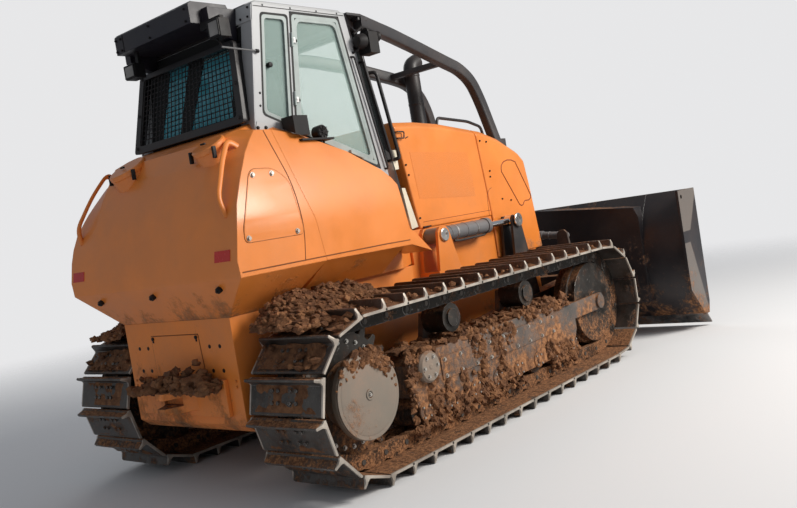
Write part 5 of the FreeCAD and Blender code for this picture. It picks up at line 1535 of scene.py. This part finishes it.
    def rear_post_trim(self):
        """Grey angle strips, brackets and roof gutter along the cab's edges."""
        build = Build()
        for sign in (-1, 1):
            strip = ((-0.006, 0.604), (-0.006, 0.6205), (0.004, 0.6205), (0.004, 0.604))
            build.loft([[at(rear_wall(z) + x, sign * y, z) for x, y in strip] for z in (2.215, 2.90)])
            for z in (2.36, 2.44):
                build.bolt(at(rear_wall(z) + 0.045, sign * 0.6195, z), (0, sign, 0), 0.012, 1)
            plate = [(-0.062, 2.185), (0.050, 2.185), (0.062, 2.255), (-0.030, 2.262)]
            build.prism([at(x, sign * 0.619, z) for x, z in plate], (0, sign * 0.006, 0))
            for x in (-0.03, 0.035):
                build.bolt(at(x, sign * 0.625, 2.222), (0, sign, 0), 0.018, 1)
        build.done("cab_rear_brackets", ["cab grey paint", "dark plastic"])
        build = Build()
        for sign in (-1, 1):
            build.tube([at(0.10, sign * 0.6205, 2.990), at(0.925, sign * 0.6205, 2.990)], 0.0025, 0.0, 6, 1)
            for x in (0.18, 0.42, 0.66, 0.86):
                build.cylinder(at(x, sign * 0.619, 3.0), at(x, sign * 0.6225, 3.0), 0.006, 10, 1)
        build.done("cab_gutter", ["cab grey paint", "rubber seal"])

    def lamp_lenses(self):
        """Lenses, rims and brackets of the lamps."""
        build = Build()
        for x, y, z, w, h in ((-0.230, 0.310, 2.782, 0.095, 0.07), (-0.225, -0.605, 2.827, 0.085, 0.085)):
            build.box(at(x - 0.006, y - w / 2, z - h / 2), at(x + 0.004, y + w / 2, z + h / 2), 0, 0.003)
            outer = [at(x - 0.008, y + a * (w / 2 + 0.008), z + b * (h / 2 + 0.008)) for a, b in
                     ((-1, -1), (1, -1), (1, 1), (-1, 1))]
            inner = [at(x - 0.008, y + a * w / 2, z + b * h / 2) for a,
                     b in ((-1, -1), (1, -1), (1, 1), (-1, 1))]
            build.ring(outer, inner, (0.012, 0, 0), 1)
        for sign in (-1, 1):
            centre = at(1.140, sign * 0.670, 2.790)
            build.box(centre + Vector((-0.003, -0.045, -0.062)), centre + Vector((0.004, 0.045, 0.062)), 0,
                      0.003)
        build.done("lamp_lenses", ["lamp lens", "dark plastic"])
        build = Build()
        for sign in (-1, 1):
            build.box(at(0.20, sign * 0.71 - 0.05, 2.112), at(0.49, sign * 0.71 + 0.05, 2.126), 0, 0.004)
            hub = at(0.415, sign * 0.71, 2.165)
            build.lathe(hub, (0, sign, 0), [(-0.035, 0.045), (0.025, 0.048), (0.034, 0.040), (0.030, 0.012),
                                            (0.038, 0.010), (0.038, 0.0)], 28)
            for spoke in around(hub, 0.043, 8, sign * 0.037):
                build.tube([hub + Vector((0, sign * 0.037, 0)), spoke], 0.003, 0.0, 6)
            build.tube([at(0.30, sign * 0.70, 2.125), at(0.30, sign * 0.705, 2.035)], 0.012, 0.0, 10)
            build.tube([at(0.45, sign * 0.705, 2.12), at(0.47, sign * 0.66, 2.06),
                        at(0.46, sign * 0.645, 2.02)],
                       0.006, 0.02, 8)
        build.done("fender_horn", "dark plastic")
        build = Build()
        rod = [at(-0.21, -0.63, 2.712), at(0.055, -0.632, 2.700)]
        build.tube(rod, 0.006, 0.0, 10)
        build.cylinder(rod[1] - Vector((0.004, 0, 0)), rod[1] + Vector((0.020, 0, -0.001)), 0.012, 16, 1,
                       0.004)
        build.tube([at(0.058, -0.632, 2.700), at(0.058, -0.612, 2.700)], 0.007, 0.0, 10, 1)
        build.tube([at(-0.205, -0.63, 2.712), at(-0.185, -0.56, 2.80)], 0.006, 0.0, 8, 1)
        build.done("window_stay", ["trim grey", "dark plastic"])

    def front_fittings(self):
        """Lamps, mirrors and tube rails beside the front posts."""
        build = Build()
        for sign in (-1, 1):
            lamp = at(0.960, sign * 0.668, 2.800)
            build.lathe(lamp, (1, 0, 0.06), [(0.0, 0.020), (0.006, 0.038), (0.030, 0.052), (0.070, 0.056),
                                             (0.076, 0.052),
                                             (0.076, 0.0)], 28)
            plate = [at(1.075, sign * y, z) for y,
                     z in ((0.615, 2.775), (0.690, 2.790), (0.690, 2.905), (0.615, 2.890))]
            build.prism(round_outline(plate, 0.025), (0.022, 0, 0))
            far = at(1.250, sign * 0.600, 2.872)
            build.lathe(far, (1, 0, -0.1), [(0.0, 0.012), (0.006, 0.034), (0.020, 0.042), (0.030, 0.042),
                                            (0.030, 0.0)], 24)
            build.tube([at(0.99, sign * 0.63, 2.86), at(1.10, sign * 0.62, 2.925),
                        at(1.255, sign * 0.60, 2.905)],
                       0.010, 0.03, 10)
            build.tube([at(1.085, sign * 0.650, 2.87), at(1.085, sign * 0.620, 2.925)], 0.008, 0.0, 8)
            build.tube([at(0.96, sign * 0.62, 2.73), at(0.99, sign * 0.660, 2.75),
                        at(0.99, sign * 0.665, 2.79)], 0.009,
                       0.02, 8)
        build.done("mirror_cluster", "dark plastic")
        build = Build()
        for sign in (-1, 1):
            build.tube([at(0.93, sign * 0.615, 2.70), at(0.95, sign * 0.64, 2.70),
                        at(1.12, sign * 0.64, 1.90),
                        at(1.11, sign * 0.615, 1.90)], 0.008, 0.02, 10)
            path = [at(1.085, sign * 0.55, 2.68), at(1.085, sign * 0.60, 2.68), at(1.235, sign * 0.60, 1.96),
                    at(1.235, sign * 0.55, 1.96)]
            build.tube(path, 0.011, 0.03, 12)
        build.done("front_post_rails", "guard black paint")

    def interior(self):
        """Levers, armrest pads, monitor and head lining."""
        build = Build()
        for sign in (-1, 1):
            stick = [at(0.72, sign * 0.31, 1.70), at(0.74, sign * 0.31, 1.80), at(0.76, sign * 0.31, 1.88)]
            build.tube(stick, 0.012, 0.03, 12)
            build.lathe(at(0.76, sign * 0.31, 1.87), (0.1, 0, 1), [(0.0, 0.018), (0.02, 0.026), (0.07, 0.028),
                                                                   (0.10, 0.022), (0.112, 0.0)], 20)
            build.box(at(0.42, sign * 0.31 - 0.045, 1.70), at(0.70, sign * 0.31 + 0.045, 1.735), 0, 0.014)
        build.box(at(1.20, -0.16, 1.98), at(1.235, 0.16, 2.16), 0, 0.012)
        build.box(at(1.196, -0.14, 2.00), at(1.199, 0.14, 2.14), 1)
        for y in (-0.18, 0.0, 0.18):
            build.box(at(1.08, y - 0.05, 1.34), at(1.17, y + 0.05, 1.365), 1, 0.006)
        build.done("cab_controls", ["dark plastic", "trim grey"])
        build = Build()
        build.box(at(0.16, -0.54, 2.945), at(0.95, 0.54, 2.962), 0, 0.006)
        build.done("head_lining", "trim grey")


class DOZER_OT_hydraulics(bpy.types.Operator):
    """Add collars, gland nuts, pin caps and hoses to the cylinders"""
    bl_idname = "dozer.hydraulics"
    bl_label = "Cylinders"

    def execute(self, context):
        for sign, side in SIDES:
            self.lift(sign, side)
            self.angle(sign, side)
        self.tilt()
        return {"FINISHED"}

    def lift(self, sign, side):
        base, eye = at(LIFT_BASE_X, sign * LIFT_Y, LIFT_Z), at(LIFT_EYE_X, sign * LIFT_Y, LIFT_Z)
        axis = (eye - base).normalized()
        build = Build()
        r = 0.060
        for d, wide, rise in ((0.16, 0.010, 0.003), (0.38, 0.012, 0.003), (0.70, 0.03, 0.007)):
            build.band(base, axis, d, wide, r - 0.002, r + rise)
        build.lathe(base, axis, [(0.725, 0.050), (0.730, 0.052), (0.755, 0.052), (0.760, 0.030)], 32, 0)
        bends = ((0.22, 0.02, -0.068), (0.30, 0.02, -0.075), (0.67, 0.01, -0.072), (0.71, 0.0, -0.056))
        build.tube([base + axis * d + Vector((0, sign * y, z)) for d, y, z in bends], 0.010, 0.03, 10, 1)
        for d in (0.24, 0.52):
            build.band(base, axis, d, 0.018, r - 0.002, r + 0.003, 0.001, finish=2)
        build.done("lift_barrel_fittings_" + side, ["cylinder paint", "hose rubber", "pin steel"],
                   "lift_barrel_" + side)
        build = Build()
        cap = at(LIFT_BASE_X, sign * 0.6385, LIFT_Z)
        build.lathe(cap, (0, sign, 0), [(-0.008, 0.052), (0.006, 0.052), (0.010, 0.046), (0.010, 0.020),
                                        (0.006, 0.018), (0.006, 0.0)], 32)
        build.bolt(cap + Vector((0.026, sign * 0.006, 0.012)), (0, sign, 0), 0.022, 0)
        build.done("lift_pin_caps_" + side, "pin steel")
        build = Build()
        cap = at(LIFT_EYE_X, sign * 0.6265, LIFT_Z)
        build.lathe(cap, (0, sign, 0), [(-0.006, 0.060), (0.004, 0.060), (0.008, 0.054), (0.008, 0.024),
                                        (0.003, 0.020), (0.003, 0.0)], 32, 0)
        build.box(cap + Vector((-0.006, -0.004, -0.030)), cap + Vector((0.006, 0.010, 0.030)), 1, 0.002)
        build.done("lift_eye_caps_" + side, ["pin steel", "bolt zinc"], "lift_frame")

    def angle(self, sign, side):
        base, eye = at(3.90, sign * 0.10, 0.80), at(4.115, sign * 0.60, 0.80)
        axis = (eye - base).normalized()
        build = Build()
        for d, wide in ((0.07, 0.014), (0.18, 0.01), (0.315, 0.024)):
            build.band(base, axis, d, wide, 0.036, 0.043, sides=32)
        bends = ((0.09, 0.045), (0.20, 0.055), (0.31, 0.045))
        build.tube([base + axis * d + Vector((0, 0, z)) for d, z in bends], 0.008, 0.02, 8, 1)
        build.done("angle_barrel_fittings_" + side, ["cylinder paint", "hose rubber"],
                   "angle_barrel_" + side)

    def tilt(self):
        base, eye = at(3.79, -0.50, 1.10), at(3.79, 0.047, 1.15)
        axis = (eye - base).normalized()
        build = Build()
        for d, wide in ((0.07, 0.014), (0.17, 0.01), (0.265, 0.022)):
            build.band(base, axis, d, wide, 0.034, 0.041, sides=32)
        build.done("tilt_barrel_fittings", "cylinder paint", "tilt_barrel")


class DOZER_OT_blade(bpy.types.Operator):
    """Round the blade, its frame, yoke and cutting edge, and add edge bolts and soil"""
    bl_idname = "dozer.blade"
    bl_label = "Blade and lift frame"

    def execute(self, context):
        for node, finish, width in (
                ("blade", "blade paint", 0.005), ("c_frame", "frame paint", 0.008),
                ("blade_yoke", "frame paint", 0.006), ("cutting_edge", "edge steel", 0.003)):
            soft_copy(node, finish, width)
        self.bolts()
        self.soil()
        return {"FINISHED"}

    def bolts(self):
        """Bolts of the cutting edge on the mouldboard's face."""
        low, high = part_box("cutting_edge")
        build = Build()
        count = 18
        z = 0.5 * (low.z + high.z) + 0.03
        x = high.x - 0.078
        for k in range(count):
            y = low.y + 0.09 + (high.y - low.y - 0.18) * k / (count - 1)
            build.cylinder((x - 0.012, y, z - 0.006), (x + 0.012, y, z + 0.004), 0.016, 12, 0, 0.003)
        build.done("edge_bolts", "edge steel", "blade")

    def soil(self):
        """Soil lying on the lift frame."""
        rng = random.Random(23)
        build = Build()
        for _ in range(80):
            sign = rng.choice((-1, 1))
            x = rng.uniform(3.54, 3.78)
            z = 0.64 + (x - 2.5) * 0.08 / 1.3
            build.clod(at(x, sign * rng.uniform(0.485, 0.61), z + 0.010), rng.uniform(0.010, 0.028),
                       rng.uniform(0, 99), detail=2)
        build.done("lift_frame_soil", SOILS, "lift_frame", smooth=60.0)


class DOZER_OT_stage(bpy.types.Operator):
    """Set the floor, the soft studio light and the camera"""
    bl_idname = "dozer.stage"
    bl_label = "Stage"

    def execute(self, context):
        scene = context.scene
        stage = scene.dozer_stage
        self.floor(stage)
        self.world(scene, stage)
        self.lights()
        self.camera(scene, stage)
        scene.view_settings.view_transform = "Standard"
        return {"FINISHED"}

    def floor(self, stage):
        mesh = bpy.data.meshes.new("floor")
        size = 60.0
        mesh.from_pydata([(-size, -size, 0), (size, -size, 0), (size, size, 0), (-size, size, 0)], [],
                         [(0, 1, 2, 3)])
        floor = bpy.data.objects.new("floor", mesh)
        bpy.context.scene.collection.objects.link(floor)
        g, shader = start_material("studio floor")
        finish_surface(g, shader, stage.floor, 0.9)
        shader["Specular IOR Level"].default_value = 0.1
        spot = g.parts(g.place())
        far = g.math("SQRT", g.plus(g.times(spot[0], spot[0]), g.times(spot[1], spot[1])))
        seen = g.add("ShaderNodeLightPath").outputs["Is Camera Ray"]
        faded = g.times(g.span(far, 5.0, 12.0), seen)
        clear = g.add("ShaderNodeBsdfTransparent").outputs[0]
        surface = next(n for n in g.tree.nodes if n.type == "OUTPUT_MATERIAL").inputs[0]
        opaque = surface.links[0].from_socket
        g.put(surface, g.add("ShaderNodeMixShader", {0: faded, 1: opaque, 2: clear}).outputs[0])
        mesh.materials.append(FINISH["studio floor"])

    def world(self, scene, stage):
        world = bpy.data.worlds.new("studio")
        scene.world = world
        world.use_nodes = True
        world.node_tree.nodes.clear()
        g = Graph(world.node_tree)
        path = g.add("ShaderNodeLightPath")
        seen = g.math("MAXIMUM", path.outputs["Is Camera Ray"], path.outputs["Is Transmission Ray"])
        fill = g.add("ShaderNodeBackground", {"Color": (0.88, 0.93, 1.0, 1.0), "Strength": 0.30})
        back = g.add("ShaderNodeBackground", {"Color": (*stage.floor, 1.0), "Strength": 1.0})
        blend = g.add("ShaderNodeMixShader", {0: seen, 1: fill.outputs[0], 2: back.outputs[0]})
        g.add("ShaderNodeOutputWorld", {0: blend.outputs[0]})

    def lights(self):
        for name, place, aim, size, power, tint in (
                ("key softbox", (3.2, -9.0, 6.5), (-0.3, 0.0, 1.2), 4.0, 1250.0, (1.0, 0.96, 0.9)),
                ("rear fill", (-9.0, -1.5, 3.5), (-1.0, 0.0, 1.3), 6.0, 12.0, (0.92, 0.96, 1.0)),
                ("far rim", (5.0, 8.0, 6.0), (0.0, 0.0, 1.5), 5.0, 150.0, (1.0, 1.0, 1.0))):
            data = bpy.data.lights.new(name, "AREA")
            data.shape = "SQUARE"
            data.size = size
            data.energy = power
            data.color = tint
            lamp = bpy.data.objects.new(name, data)
            bpy.context.scene.collection.objects.link(lamp)
            lamp.location = place
            lamp.rotation_euler = (Vector(aim) - Vector(place)).to_track_quat("-Z", "Y").to_euler()

    def camera(self, scene, stage):
        data = bpy.data.cameras.new("camera")
        data.sensor_fit = "HORIZONTAL"
        data.sensor_width = 36.0
        data.lens = stage.lens * 1000.0
        camera = bpy.data.objects.new("camera", data)
        scene.collection.objects.link(camera)
        right = Vector((0.63298, -0.75750, -0.15976))
        up = Vector((0.13768, -0.09292, 0.98611))
        back = Vector((-0.76183, -0.64618, 0.04548))
        turn = Matrix((right, up, back)).transposed().to_4x4()
        camera.matrix_world = Matrix.Translation(at(*CAMERA_PLACE)) @ turn
        scene.camera = camera


class DOZER_PT_panel(bpy.types.Panel):
    """Lists the steps that dress the bulldozer"""
    bl_idname = "DOZER_PT_panel"
    bl_label = "Bulldozer"
    bl_space_type = "VIEW_3D"
    bl_region_type = "UI"
    bl_category = "Bulldozer"

    def draw(self, context):
        layout = self.layout
        for group in ("dozer_paint", "dozer_track", "dozer_stage"):
            settings = getattr(context.scene, group)
            for key in settings.bl_rna.properties.keys():
                if key not in ("rna_type", "name"):
                    layout.prop(settings, key)
        for step in STEPS:
            layout.operator(step.bl_idname)


SETTINGS = (("dozer_paint", DozerPaint), ("dozer_track", DozerTrack), ("dozer_stage", DozerStage))
STEPS = (DOZER_OT_finishes, DOZER_OT_tracks, DOZER_OT_undercarriage, DOZER_OT_bodywork, DOZER_OT_cab,
         DOZER_OT_hydraulics, DOZER_OT_blade, DOZER_OT_stage)


def register():
    for key, settings in SETTINGS:
        bpy.utils.register_class(settings)
        setattr(bpy.types.Scene, key, PointerProperty(type=settings))
    for step in STEPS:
        bpy.utils.register_class(step)
    bpy.utils.register_class(DOZER_PT_panel)


def unregister():
    bpy.utils.unregister_class(DOZER_PT_panel)
    for step in reversed(STEPS):
        bpy.utils.unregister_class(step)
    for key, settings in reversed(SETTINGS):
        delattr(bpy.types.Scene, key)
        bpy.utils.unregister_class(settings)


def run_step(step):
    group, name = step.bl_idname.split(".")
    getattr(getattr(bpy.ops, group), name)()


def main():
    register()
    for step in STEPS:
        run_step(step)


if __name__ == "__main__":
    main()
